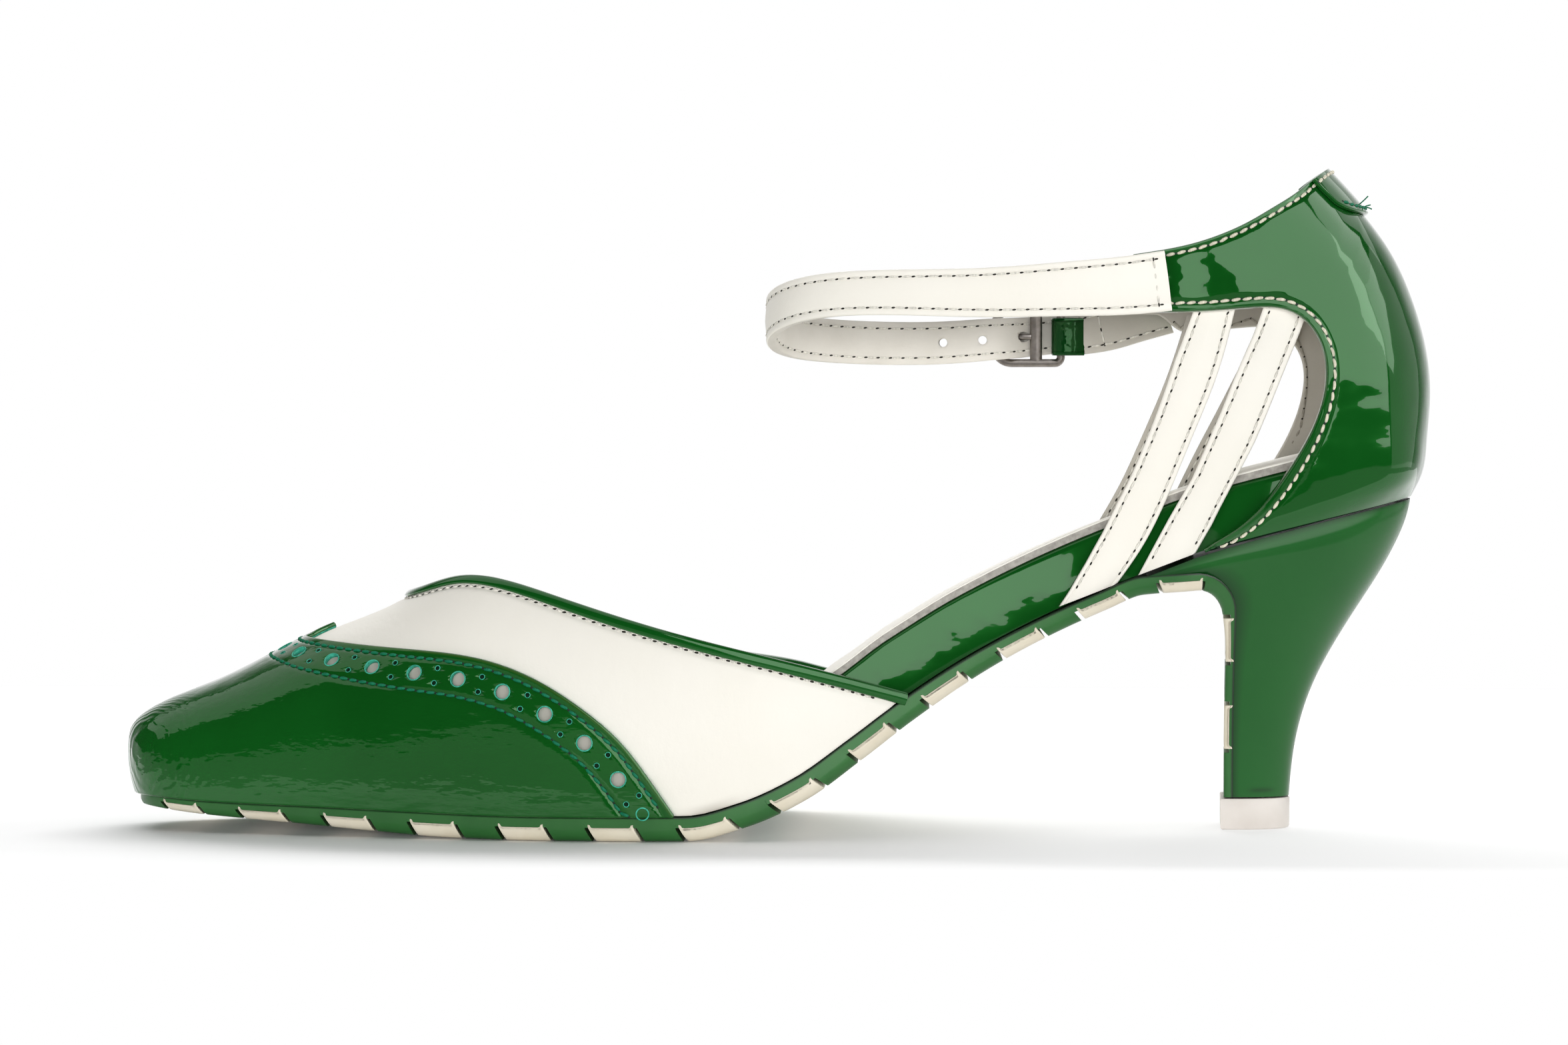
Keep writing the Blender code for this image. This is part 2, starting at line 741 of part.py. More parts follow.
def vamp_grid(girth, ends, count):
    """Points of the vamp from the nose to an edge, row by row over the girth."""
    share = np.linspace(0, 1, count) ** 1.7
    x = TIP_X + (ends[:, None] - TIP_X) * share[None, :]
    return vamp_point(x, np.broadcast_to(girth[:, None], x.shape))


def make_vamp(material):
    girth = girth_stations(VAMP_STEPS)
    ends = edge_along(girth, TOPLINE, dip=True)
    add_sheet("vamp", [vamp_grid(girth, ends, 19)], material, VAMP_WALL)


def wing_ends(girth):
    """Rear edge of the toe cap: two wings that meet in a point on the crown."""
    ends = edge_along(girth, WING)
    point = np.clip(1 - np.abs(girth - 0.5) / WING_POINT_SHARE, 0, 1)
    return ends + WING_POINT_LENGTH * point**1.4


def make_toe_cap(material):
    point_ends = [0.5 - WING_POINT_SHARE, 0.5 + WING_POINT_SHARE]
    girth = np.unique(np.concatenate([girth_stations(VAMP_STEPS), point_ends]))
    grid = vamp_grid(girth, wing_ends(girth), 12)
    add_sheet("toe_cap", [grid], material, CAP_WALL, lift=CAP_CLEARANCE + CAP_WALL)


def make_binding(material):
    """Folded strip over the top edge of the vamp."""
    girth = girth_stations(VAMP_STEPS)
    girth = girth[(girth > BINDING_START) & (girth < 1 - BINDING_START)]
    ends = edge_along(girth, TOPLINE, dip=True)
    edge = vamp_point(ends, girth)
    along = unit(np.gradient(edge, axis=0))
    inward = vamp_point(ends - 1.0, girth) - edge
    normal = unit(np.cross(along, inward))
    inward = unit(np.cross(normal, along))
    face, back = BINDING_CLEARANCE, -VAMP_WALL - BINDING_CLEARANCE
    profile = (
        (BINDING_WIDTH, face),
        (BINDING_WIDTH, face + BINDING_LEAF),
        (0.0, face + BINDING_LEAF + 0.2),
        (-BINDING_BEAD, face),
        (-BINDING_BEAD, back),
        (0.0, back - BINDING_LEAF - 0.2),
        (BINDING_WIDTH, back - BINDING_LEAF),
        (BINDING_WIDTH, back),
        (-GAP, back),
        (-GAP, face),
    )
    sections = [
        np.array([e + i * down + n * out for down, out in profile])
        for e, i, n in zip(edge, inward, normal)
    ]
    add_loft("vamp_binding", sections, material)


def cup_rows(z):
    """Back end, start of the round back and half width of the counter at a height."""
    heights = column(CUP, "z")
    back = spline(z, heights, column(CUP, "back"))
    return back, back - CUP_DEPTH, spline(z, heights, column(CUP, "half"))


def cup_turn(x, z):
    """How far round the counter a place is: 0 at the back, 0.5 where the sides begin, then forward."""
    back, start, _ = cup_rows(z)
    share = np.clip((x - start) / CUP_DEPTH, 0, 1)
    round_part = np.arccos(share ** (CUP_SQUARENESS / 2)) / math.pi
    return np.where(x > start, round_part, 0.5 + (start - x) / (2 * CUP_DEPTH))


def cup_point(turn, z, side):
    """Outer face of the counter, side -1 for medial and +1 for lateral."""
    back, start, half = cup_rows(z)
    angle = math.pi * np.minimum(turn, 0.5)
    power = 2 / CUP_SQUARENESS
    x = start + CUP_DEPTH * np.abs(np.cos(angle)) ** power
    x = x - np.maximum(turn - 0.5, 0) * 2 * CUP_DEPTH
    y = side * half * np.abs(np.sin(angle)) ** power
    return np.stack([x, y, z], axis=-1)


def lowered(turn, z, side):
    """The lateral band sits lower than the medial one, towards the front."""
    drop = LATERAL_DROP * smoothstep(turn / 0.7) * smoothstep((z - 80) / 18)
    return z - drop * (side > 0)


def edge_curve(rows, count):
    """Evenly spaced points of a smooth side-view edge: x and z."""
    points = np.array(rows)
    length = np.concatenate([[0], np.cumsum(np.linalg.norm(np.diff(points, axis=0), axis=1))])
    at = np.linspace(0, length[-1], count)
    return spline(at, length, points[:, 0]), spline(at, length, points[:, 1])


def seat_edge(count):
    """Lower edge of the counter, from its toe back to the middle of the heel."""
    turn = np.linspace(0, 1, count)[::-1]
    z = np.full(count, HEEL_HEIGHT)
    first = float(cup_turn(COUNTER_TOE_X, bed(COUNTER_TOE_X)))
    turn = turn * first
    for _ in range(6):
        z = bed(cup_point(turn, z, 1)[:, 0]) + GAP
    return turn, z


def counter_grid(side, counts, across):
    """One half of the counter, from the cut-out's edge to the seat, back and collar."""
    lower, back, upper = counts
    seat_turn, seat_z = seat_edge(lower + 1)
    collar_x, collar_z = edge_curve(COLLAR, upper + 1)
    collar_turn = cup_turn(collar_x, collar_z)
    collar_turn[0] = 0
    spine_z = np.linspace(seat_z[-1], collar_z[0], back + 1)
    outer_turn = np.concatenate([seat_turn, np.zeros(back - 1), collar_turn])
    outer_z = np.concatenate([seat_z, spine_z[1:-1], collar_z])
    inner_x, inner_z = edge_curve(CUTOUT, lower + back + upper + 1)
    inner_turn = cup_turn(inner_x, inner_z)
    share = np.linspace(0, 1, across)[None, :]
    turn = inner_turn[:, None] + (outer_turn - inner_turn)[:, None] * share
    z = inner_z[:, None] + (outer_z - inner_z)[:, None] * share
    return cup_point(turn, lowered(turn, z, side), side)


def make_counter(material):
    counts, across = (10, 8, 10), 7
    medial = counter_grid(-1, counts, across)
    lateral = counter_grid(1, counts, across)[::-1]
    add_sheet("counter", [medial, lateral], material, COUNTER_WALL)


def make_back_tab(material):
    """Small overlay that caps the back of the collar."""
    turn = np.linspace(-TAB_HALF_SPAN, TAB_HALF_SPAN, 13)
    reach = np.sqrt(np.clip(1 - (turn / TAB_HALF_SPAN) ** 2, 0, 1))
    collar_x, collar_z = edge_curve(COLLAR, 80)
    collar_turn = cup_turn(collar_x, collar_z)
    top = np.interp(np.abs(turn), collar_turn, collar_z) - GAP
    low = top - 2.0 - TAB_DROP * reach
    share = np.linspace(0, 1, 6)[:, None]
    z = low + (top - low) * share
    wide = np.broadcast_to(turn, z.shape)
    sides = np.where(wide < 0, -1.0, 1.0)
    grid = cup_point(np.abs(wide), z, sides)
    add_sheet("back_tab", [grid], material, TAB_WALL, lift=GAP + TAB_WALL)


def add_ribbon(name, points, widths, normals, thickness, material):
    """Flat strap along points, with its own width at each and its face along the normals."""
    along = unit(np.gradient(points, axis=0))
    normals = unit(normals - along * np.sum(normals * along, axis=1, keepdims=True))
    across = np.cross(along, normals)
    half, soft = thickness / 2, 0.35
    sections = []
    for p, a, n, width in zip(points, across, normals, widths):
        profile = (
            (width / 2, half - soft),
            (width / 2 - soft, half),
            (soft - width / 2, half),
            (-width / 2, half - soft),
            (-width / 2, soft - half),
            (soft - width / 2, -half),
            (width / 2 - soft, -half),
            (width / 2, soft - half),
        )
        sections.append(np.array([p + a * u + n * w for u, w in profile]))
    return add_loft(name, sections, material)


def through(rows, count):
    """Even points on a smooth line through rows of x, y, z and width."""
    points = np.array(rows)
    length = np.concatenate([[0], np.cumsum(np.linalg.norm(np.diff(points[:, :3], axis=0), axis=1))])
    at = np.linspace(0, length[-1], count)
    return np.stack([spline(at, length, points[:, i]) for i in range(points.shape[1])], axis=1)


def band_face(x, z, side, offset):
    """Point off the outer face of the counter's front band."""
    point = cup_point(cup_turn(x, z), np.asarray(z, float), side)
    point[..., 1] += side * offset
    return point


def make_side_straps(material):
    count = 12
    half, soft = SIDE_STRAP_THICKNESS / 2, 0.3
    for side, word in ((-1, "medial"), (1, "lateral")):
        for place, rows in SIDE_STRAPS.items():
            front_x, front_z = edge_curve([row[:2] for row in rows], count)
            rear_x, rear_z = edge_curve([row[2:] for row in rows], count)
            if side > 0:
                front_x = front_x + LATERAL_STRAP_SHIFT[place]
                rear_x = rear_x + LATERAL_STRAP_SHIFT[place]
                front_z = front_z - LATERAL_DROP * smoothstep((front_z - 70) / 30)
                rear_z = rear_z - LATERAL_DROP * smoothstep((rear_z - 70) / 30)
            front_z = np.maximum(front_z, bed(front_x) + GAP)
            rear_z = np.maximum(rear_z, bed(rear_x) + GAP)
            share = smoothstep(np.linspace(0, 1, count))
            sections = []
            for i in range(count):
                front = np.array([front_x[i], 0, front_z[i]])
                rear = np.array([rear_x[i], 0, rear_z[i]])
                across = unit(rear - front)
                front[1], rear[1] = (
                    strap_foot(place_x, side) * (1 - share[i]) + strap_head(rows[-1], side) * share[i]
                    for place_x in (rows[0].front_x, rows[0].rear_x)
                )
                out = np.array([0.0, side, 0.0])
                loop = [
                    front + out * (half - soft),
                    front + across * soft + out * half,
                    rear - across * soft + out * half,
                    rear + out * (half - soft),
                    rear - out * (half - soft),
                    rear - across * soft - out * half,
                    front + across * soft - out * half,
                    front - out * (half - soft),
                ]
                sections.append(np.array(loop))
            add_loft(f"side_strap_{word}_{place}", sections, material)


def strap_foot(x, side):
    """Middle of a side strap's thickness where it lies on the side of the footbed."""
    medial, lateral = feather(np.array([x]))
    edge = (medial if side < 0 else lateral)[0]
    return edge - side * (FOOTBED_INSET - 2 * GAP - SIDE_STRAP_THICKNESS / 2)


def strap_head(row, side):
    """Middle of a side strap's thickness where it is tucked inside the band."""
    inside = -COUNTER_WALL - 2 * GAP - SIDE_STRAP_THICKNESS / 2
    return band_face(np.array([row.rear_x]), np.array([row.rear_z]), side, inside)[0, 1]


def strap_normals(points):
    """Outward faces of an upright strap that runs round the ankle."""
    along = np.gradient(points, axis=0)
    up = np.tile([0.0, 0.0, 1.0], (len(points), 1))
    return unit(np.cross(along, up))


def make_ankle_strap(material):
    start_z = ANKLE_STRAP[0].z + 0.9
    offset = GAP + STRAP_THICKNESS / 2 + BAND_LEAN
    root = band_face(np.array([STRAP_OVERLAP_X]), np.array([start_z]), -1, offset)[0]
    first = Strap(*root, ANKLE_STRAP[0].width + 0.4)
    line = through([first] + ANKLE_STRAP, 46)
    points, widths = line[:, :3], line[:, 3]
    strap = add_ribbon("ankle_strap", points, widths, -strap_normals(points), STRAP_THICKNESS, material)
    lateral = points[:, 1] > 0
    for number, x in enumerate(STRAP_HOLE_X):
        y, z = (np.interp(x, points[lateral, 0], points[lateral, i]) for i in (1, 2))
        ends = [(x, y - 6, z), (x, y + 6, z)]
        cut(strap, add_tube(f"strap_hole_{number}", ends, STRAP_HOLE_RADIUS, 10, material))
    slot = add_tube("prong_slot", prong_path(), PRONG_RADIUS + 1.5 * GAP, 10, material)
    cut(strap, slot)


def prong_path():
    """The prong from the buckle's bar, out through the strap, to the front of the frame."""
    reach = BUCKLE_WIRE + GAP + PRONG_RADIUS
    return [
        (BUCKLE_BAR_X - 0.8 * BUCKLE_WIRE - GAP - 0.1, BUCKLE_Y, BUCKLE_Z),
        (BUCKLE_BAR_X - 3.0, BUCKLE_Y, BUCKLE_Z),
        (BUCKLE_FRONT_X + 3.4, BUCKLE_Y + 0.5 * reach, BUCKLE_Z),
        (BUCKLE_FRONT_X + 0.6, BUCKLE_Y + reach, BUCKLE_Z),
        (BUCKLE_FRONT_X - 0.9, BUCKLE_Y + reach, BUCKLE_Z),
    ]


def add_tube(name, points, radius, sides, material, closed=False):
    """Round bar along points that lie in one upright plane or on one line."""
    points = np.array(points, float)
    if closed:
        along = np.roll(points, -1, axis=0) - np.roll(points, 1, axis=0)
    else:
        along = np.gradient(points, axis=0)
    along = unit(along)
    hint = np.array([0.0, 1.0, 0.0])
    if np.abs(along @ hint).max() > 0.9:
        hint = np.array([0.0, 0.0, 1.0])
    first = unit(np.cross(along, hint))
    second = np.cross(along, first)
    angle = np.linspace(0, 2 * math.pi, sides, endpoint=False)
    sections = [
        p + radius * (np.outer(np.cos(angle), a) + np.outer(np.sin(angle), b))
        for p, a, b in zip(points, first, second)
    ]
    return add_loft(name, sections, material, closed)


def make_buckle(material):
    """Frame with a round front, its middle bar and the prong that goes through the strap."""
    half = BUCKLE_HALF_HEIGHT - BUCKLE_WIRE
    front, rear = BUCKLE_FRONT_X + BUCKLE_FRONT_RADIUS, BUCKLE_REAR_X - BUCKLE_REAR_RADIUS
    corners = (
        (front, 1, BUCKLE_FRONT_RADIUS, 90, 5),
        (front, -1, BUCKLE_FRONT_RADIUS, 180, 5),
        (rear, -1, BUCKLE_REAR_RADIUS, 270, 3),
        (rear, 1, BUCKLE_REAR_RADIUS, 360, 3),
    )
    points = []
    for x, end, radius, first, count in corners:
        for angle in np.radians(np.linspace(first, first + 90, count)):
            z = end * (half - radius) + radius * math.sin(angle)
            points.append((x + radius * math.cos(angle), BUCKLE_Y, BUCKLE_Z + z))
    frame = add_tube("buckle_frame", points, BUCKLE_WIRE, 8, material, closed=True)
    ends = [(BUCKLE_BAR_X, BUCKLE_Y, BUCKLE_Z - half), (BUCKLE_BAR_X, BUCKLE_Y, BUCKLE_Z + half)]
    bar = add_tube("buckle_bar", ends, 0.8 * BUCKLE_WIRE, 8, material)
    bar.hide_render = True
    bar.display_type = "WIRE"
    join = frame.modifiers.new("bar", "BOOLEAN")
    join.operation = "UNION"
    join.object = bar
    add_tube("buckle_prong", prong_path(), PRONG_RADIUS, 8, material)


def make_keeper(material):
    """Leather loop folded round the buckle's rear bar, its two leaves ending at the short strap."""
    bar = BUCKLE_WIRE + GAP + KEEPER_LEAF / 2
    leaf = GAP / 2 + KEEPER_LEAF / 2
    line = [(KEEPER_END_X, BUCKLE_Y - leaf), (BUCKLE_REAR_X + 1.8, BUCKLE_Y - 0.95 * bar)]
    for angle in np.linspace(1.5 * math.pi, 0.5 * math.pi, 7):
        line.append((BUCKLE_REAR_X + bar * math.cos(angle), BUCKLE_Y + bar * math.sin(angle)))
    line += [(BUCKLE_REAR_X + 1.8, BUCKLE_Y + 0.95 * bar), (KEEPER_END_X, BUCKLE_Y + leaf)]
    points = np.array([(x, y, BUCKLE_Z) for x, y in line])
    widths = np.full(len(points), 2 * KEEPER_HALF_HEIGHT)
    add_ribbon("buckle_keeper", points, widths, strap_normals(points), KEEPER_LEAF, material)


def make_buckle_strap(material):
    offset = GAP + STRAP_THICKNESS / 2 + BAND_LEAN
    rows = list(BUCKLE_STRAP)
    root = band_face(np.array([rows[0].x]), np.array([rows[0].z]), 1, offset)[0]
    rows[0] = Strap(*root, rows[0].width)
    line = through(rows, 10)
    points = line[:, :3]
    add_ribbon("buckle_strap", points, line[:, 3], strap_normals(points), STRAP_THICKNESS, material)


def main():
    for obj in list(bpy.data.objects):
        bpy.data.objects.remove(obj)
    patent = make_material("green_patent", (0.012, 0.115, 0.022), 0.08)
    lacquer = make_material("green_lacquer", (0.016, 0.125, 0.026), 0.16)
    sole_green = make_material("green_rubber", (0.016, 0.110, 0.024), 0.38)
    cream = make_material("cream_rubber", (0.720, 0.640, 0.500), 0.45)
    white = make_material("white_leather", (0.880, 0.860, 0.800), 0.42)
    sock = make_material("insole_leather", (0.760, 0.740, 0.690), 0.60)
    metal = make_material("gunmetal", (0.300, 0.280, 0.265), 0.32, 1.0)

    make_outsole(sole_green)
    make_tread_bars(cream)
    make_heel(lacquer)
    make_top_lift(cream)
    make_footbed(patent)
    make_insole(sock)
    make_vamp(white)
    make_toe_cap(patent)
    make_binding(patent)
    make_counter(patent)
    make_back_tab(patent)
    make_side_straps(white)
    make_ankle_strap(white)
    make_buckle_strap(white)
    make_keeper(patent)
    make_buckle(metal)


main()
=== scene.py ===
"""Looks of the right kitten heel pump: hollow leather pieces, threads, punched holes, sole and light.

The toe points along -X, the inner (medial) side faces -Y and +Z is up. Sizes are in millimetres.
"""

import math
from collections import namedtuple

import bpy
import numpy as np
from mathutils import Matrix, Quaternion, Vector
from mathutils.bvhtree import BVHTree
from mathutils.kdtree import KDTree


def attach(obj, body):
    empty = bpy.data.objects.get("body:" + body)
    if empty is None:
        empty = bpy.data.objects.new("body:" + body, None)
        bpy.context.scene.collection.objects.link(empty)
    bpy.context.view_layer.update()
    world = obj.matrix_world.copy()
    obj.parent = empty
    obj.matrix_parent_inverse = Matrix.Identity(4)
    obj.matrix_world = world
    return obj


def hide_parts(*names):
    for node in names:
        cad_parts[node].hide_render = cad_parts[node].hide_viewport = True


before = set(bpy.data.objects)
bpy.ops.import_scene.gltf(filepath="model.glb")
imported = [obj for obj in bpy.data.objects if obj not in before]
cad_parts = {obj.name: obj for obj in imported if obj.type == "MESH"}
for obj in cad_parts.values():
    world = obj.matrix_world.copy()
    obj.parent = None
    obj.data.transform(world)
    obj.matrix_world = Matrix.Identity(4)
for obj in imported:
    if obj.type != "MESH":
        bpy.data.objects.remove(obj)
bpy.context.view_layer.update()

MM = 0.001
GAP = 0.3  # clearance between neighbouring pieces


def table(kind, *rows):
    """Rows of numbers with named columns."""
    return [kind(*row) for row in rows]


# Driving sizes
LENGTH = 250.0
BALL_WIDTH = 75.0
HEEL_HEIGHT = 63.4
TOE_SET_IN = 2.7  # from the tip of the shoe to the tip of the feather line
SEAT_SET_IN = 3.6  # from the back of the shoe to the back of the feather line
TIP_X = TOE_SET_IN - LENGTH / 2
BACK_X = LENGTH / 2 - SEAT_SET_IN
LIFT_THICKNESS = 5.9
VAMP_WALL = 1.6
COUNTER_WALL = 2.4
TAB_WALL = 0.7
FOOTBED_THICKNESS = 10.4
FOREFOOT_THICKNESS = 3.2
INSOLE_THICKNESS = 1.5
STRAP_THICKNESS = 2.0
SIDE_STRAP_THICKNESS = 1.4

# Feather line, where the upper meets the sole: place along the shoe, edges as shares of the ball width
Feather = namedtuple("Feather", "x medial lateral")
FEATHER = table(
    Feather,
    (TIP_X, -0.040, -0.040),
    (-121.0, -0.131, 0.051),
    (-118.0, -0.187, 0.105),
    (-112.0, -0.237, 0.156),
    (-100.0, -0.293, 0.219),
    (-80.0, -0.371, 0.307),
    (-58.0, -0.445, 0.392),
    (-38.0, -0.492, 0.456),
    (-22.0, -0.500, 0.492),
    (-6.0, -0.480, 0.500),
    (10.0, -0.424, 0.483),
    (28.0, -0.344, 0.435),
    (46.0, -0.293, 0.376),
    (64.0, -0.280, 0.323),
    (82.0, -0.288, 0.293),
    (97.0, -0.296, 0.293),
    (110.0, -0.267, 0.263),
    (117.0, -0.192, 0.189),
    (120.3, -0.101, 0.099),
    (BACK_X, 0.000, 0.000),
)

# Bed line, the underside of the foot in side view: toe spring, flat ball, arch, heel seat
Bed = namedtuple("Bed", "x z")
BALL_Z = 4.6
FLAT_START_X, FLAT_END_X = -46.0, -16.0
BED = table(
    Bed,
    (TIP_X, 6.9), (-105.0, 5.9), (-85.0, 5.5), (-66.0, 5.0), (FLAT_START_X, BALL_Z), (FLAT_END_X, BALL_Z),
    (-6.0, 6.9), (4.0, 11.3), (14.0, 18.2), (24.0, 25.5), (36.0, 33.2), (48.0, 39.6),
    (60.0, 45.1), (71.0, 49.5), (80.0, 52.9), (101.0, 58.6), (BACK_X, HEEL_HEIGHT),
)

# Outsole: it follows the bed line to the waist, then turns down the front of the heel
SOLE_PROUD = 0.4
BREAST_THINNING, THINNING_START = 0.3, 222.0  # share lost down the heel, from a length on
SOLE_LEAVES_BED_X = 61.0
WAIST_X, WAIST_DROP = 69.0, 0.7
BREAST_X = 87.1
BREAST_RADIUS = 7.6
BREAST_TOP_Z = 49.3
SOLE_END_Z = LIFT_THICKNESS + GAP
Thickness = namedtuple("Thickness", "path depth")
SOLE_DEPTH = table(
    Thickness,
    (0.0, 2.2), (22.0, 3.0), (46.0, 4.1), (60.0, BALL_Z), (120.0, BALL_Z), (150.0, 4.3),
    (180.0, 3.6), (208.0, 3.4), (220.0, 3.0), (232.0, 2.4), (264.0, 2.4),
)
# Tread: pale bars set between bars of the sole's own colour
BAR_COUNT = 15
BAR_FIRST = 8.8
BAR_PITCH = 16.8
BAR_BEND_INDEX = 13  # bars from here on lie past the bend, on the heel
BAR_BEND_EXTRA = 3.4
BAR_LENGTH = 8.4
BAR_GROOVE = 0.7
BAR_BASE_SHARE = 0.42

# Crown, the ridge of the vamp from toe to instep
Crown = namedtuple("Crown", "x z y squareness bulge")
CROWN = table(
    Crown,
    (TIP_X, 17.2, -3.0, 2.6, 0.0),
    (-120.0, 21.0, -3.0, 2.6, 0.0),
    (-115.0, 23.8, -2.9, 2.6, 0.2),
    (-105.0, 27.8, -2.7, 2.6, 0.6),
    (-95.0, 32.9, -2.3, 2.5, 1.0),
    (-85.0, 37.8, -1.9, 2.4, 1.3),
    (-75.0, 41.8, -1.5, 2.3, 1.6),
    (-70.0, 44.6, -1.4, 2.25, 1.7),
    (-65.0, 48.4, -1.2, 2.2, 1.8),
    (-55.0, 55.0, -1.0, 2.2, 2.0),
    (-42.0, 60.0, -0.8, 2.15, 2.0),
    (-20.0, 64.0, -0.3, 2.1, 2.0),
    (5.0, 68.0, 0.0, 2.1, 1.6),
    (30.0, 75.0, 0.0, 2.1, 1.0),
)
NOSE_OVERHANG = 1.3
NOSE_REACH = 9.0
NOSE_HEIGHT = 16.0

# Side views of the vamp's top edge and of the toe cap's wing edge
Edge = namedtuple("Edge", "x z")
TOPLINE = table(
    Edge,
    (-80.0, 43.2), (-70.0, 44.7), (-59.0, 48.0), (-51.0, 47.6), (-40.5, 44.7), (-20.0, 38.5),
    (0.0, 33.4), (20.0, 28.0), (29.0, 25.3),
)
WING = table(
    Edge,
    (-100.0, 36.0), (-88.4, 35.4), (-76.0, 34.6), (-65.0, 34.2), (-53.8, 33.0), (-43.0, 29.2),
    (-34.0, 23.6), (-26.5, 16.8), (-21.2, 9.6), (-17.4, 4.0),
)
LATERAL_DIP = 4.6  # the lateral top edge lies this much lower at the instep
LATERAL_DIP_END = 3.2  # and this much lower at its rear end
DIP_START_X, DIP_EASE_X = -68.0, -15.0
WING_POINT_LENGTH = 5.0
WING_POINT_SHARE = 0.045

# Counter: outline of the heel part at each height, then its edges in side view
Cup = namedtuple("Cup", "z back half")
CUP = table(
    Cup,
    (50.0, 117.5, 22.2),
    (58.0, 119.6, 22.5),
    (63.0, 121.2, 22.8),
    (67.0, 123.2, 23.4),
    (74.0, 124.4, 24.4),
    (83.0, 125.0, 25.0),
    (92.0, 124.1, 24.9),
    (101.0, 121.5, 24.2),
    (110.0, 117.4, 23.0),
    (118.0, 111.6, 21.4),
    (127.0, 103.4, 19.4),
)
CUP_DEPTH = 25.0
CUP_SQUARENESS = 2.3
BAND_FRONT_X = 67.5
COUNTER_TOE_X = 80.8
# The lateral band and its side straps sit lower, the band from one height up and the straps from another
LATERAL_DROP, DROP_LOW_Z, STRAP_DROP_LOW_Z = 2.7, 80.0, 70.0
SEAT_LIP, LOOKS_DOWN = 0.9, -0.7  # the lower edge's faces: height over the seat, and slope of the ones painted near-black as shade in the seam
CUTOUT = table(
    Edge,
    (82.9, 54.8), (87.5, 57.8), (92.5, 62.6), (96.2, 67.6), (100.0, 74.0), (102.7, 80.7),
    (103.6, 86.8), (102.6, 92.4), (99.8, 96.6), (95.6, 99.0), (90.4, 99.4), (82.4, 98.8),
    (BAND_FRONT_X, 98.6),
)
COLLAR = table(
    Edge,
    (104.6, 125.4), (102.8, 124.2), (98.8, 121.0), (94.0, 117.9), (89.1, 115.0), (84.1, 112.7),
    (79.1, 111.0), (BAND_FRONT_X, 108.8),
)

# Heel: levels from the lift to the seat. rise is the path up the breast, then the back edge
Level = namedtuple("Level", "rise back_x back_z half squareness")
HEEL = table(
    Level,
    (0.0, 98.4, 6.2, 7.9, 2.6),
    (8.5, 99.3, 14.9, 8.3, 2.6),
    (18.0, 101.6, 24.2, 9.8, 2.6),
    (27.0, 105.7, 33.3, 12.6, 2.6),
    (34.0, 110.9, 42.0, 16.0, 2.7),
    (41.0, 116.0, 50.2, 19.0, 2.8),
    (47.0, 119.2, 56.6, 20.9, 3.0),
    (57.0, 121.1, 63.0, 21.6, 3.2),
)
HEEL_BEND_START, HEEL_BEND_END = 34.0, 48.0  # rises between which the breast turns forward
LIFT_FRONT_X = 84.8
LIFT_BACK_X = 98.5
LIFT_HALF = 8.5

# Footbed and insole lie inside the upper
FOOTBED_INSET = 2.9
INSOLE_INSET = 3.4
FOOTBED_FULL_X, FOREFOOT_FULL_X = 6.0, -42.0
FOOTBED_TILT, TILT_START_X, TILT_END_X = 1.2, -20.0, 95.0
FOOTBED_EDGE, INSOLE_EDGE = 1.4, 0.35  # radius of the upper edges
SLAB_SECTIONS = 150

# Side straps in side view, both edges, from the sole to behind the band
Span = namedtuple("Span", "front_x front_z rear_x rear_z")
SIDE_STRAPS = {
    "front": table(
        Span,
        (55.4, 43.0, 64.2, 46.8),
        (62.0, 55.6, 69.6, 54.4),
        (67.2, 64.8, 74.6, 64.0),
        (72.0, 75.6, 79.4, 75.0),
        (75.9, 86.2, 84.2, 86.4),
        (79.4, 97.6, 87.6, 97.8),
        (80.5, 101.4, 88.5, 101.4),
    ),
    "rear": table(
        Span,
        (69.2, 48.8, 79.2, 52.6),
        (74.4, 59.9, 82.2, 59.2),
        (79.4, 70.3, 86.9, 68.2),
        (84.4, 80.8, 91.8, 78.2),
        (89.0, 91.2, 96.6, 89.0),
        (92.4, 98.6, 100.0, 96.8),
        (93.6, 101.4, 101.2, 100.0),
    ),
}
# On the lateral side each strap sits a little further back or forward
LATERAL_STRAP_SHIFT = {"front": -0.5, "rear": 1.6}

# Ankle strap: middle line from the inner end round the front to the tip, with its width
Strap = namedtuple("Strap", "x y z width")
ANKLE_STRAP = table(
    Strap,
    (66.0, -27.2, 103.0, 10.9),
    (56.0, -27.8, 102.4, 10.2),
    (40.0, -27.6, 101.7, 9.2),
    (21.0, -25.2, 101.8, 8.4),
    (8.4, -19.2, 101.2, 8.2),
    (1.3, -10.4, 99.4, 8.2),
    (-1.0, -0.6, 97.1, 8.2),
    (1.1, 9.4, 95.0, 8.4),
    (8.4, 18.2, 93.8, 8.5),
    (20.0, 23.6, 93.3, 8.5),
    (34.0, 24.8, 93.5, 8.4),
    (42.4, 24.3, 94.1, 8.2),
    (46.5, 26.9, 94.4, 8.0),
    (50.8, 29.9, 94.8, 7.8),
    (56.2, 30.6, 95.3, 7.6),
    (62.5, 30.8, 96.0, 7.4),
    (69.5, 30.4, 96.8, 6.2),
)
STRAP_OVERLAP_X = 73.5
BAND_LEAN = 0.9  # the band leans in, so an upright strap stands off its middle
STRAP_HOLE_RADIUS = 0.85
STRAP_HOLE_X = (32.1, 40.2, 57.8, 65.6)
STRAP_CUT = 4.0  # reach of the cutter on both sides of the strap
ROOT_RISE, ROOT_WIDER = 0.9, 0.4  # the strap's end on the band, over its first row
ANKLE_SEAM, BUCKLE_SEAM = 1.8, 4.2  # cross seams, in from the straps' ends

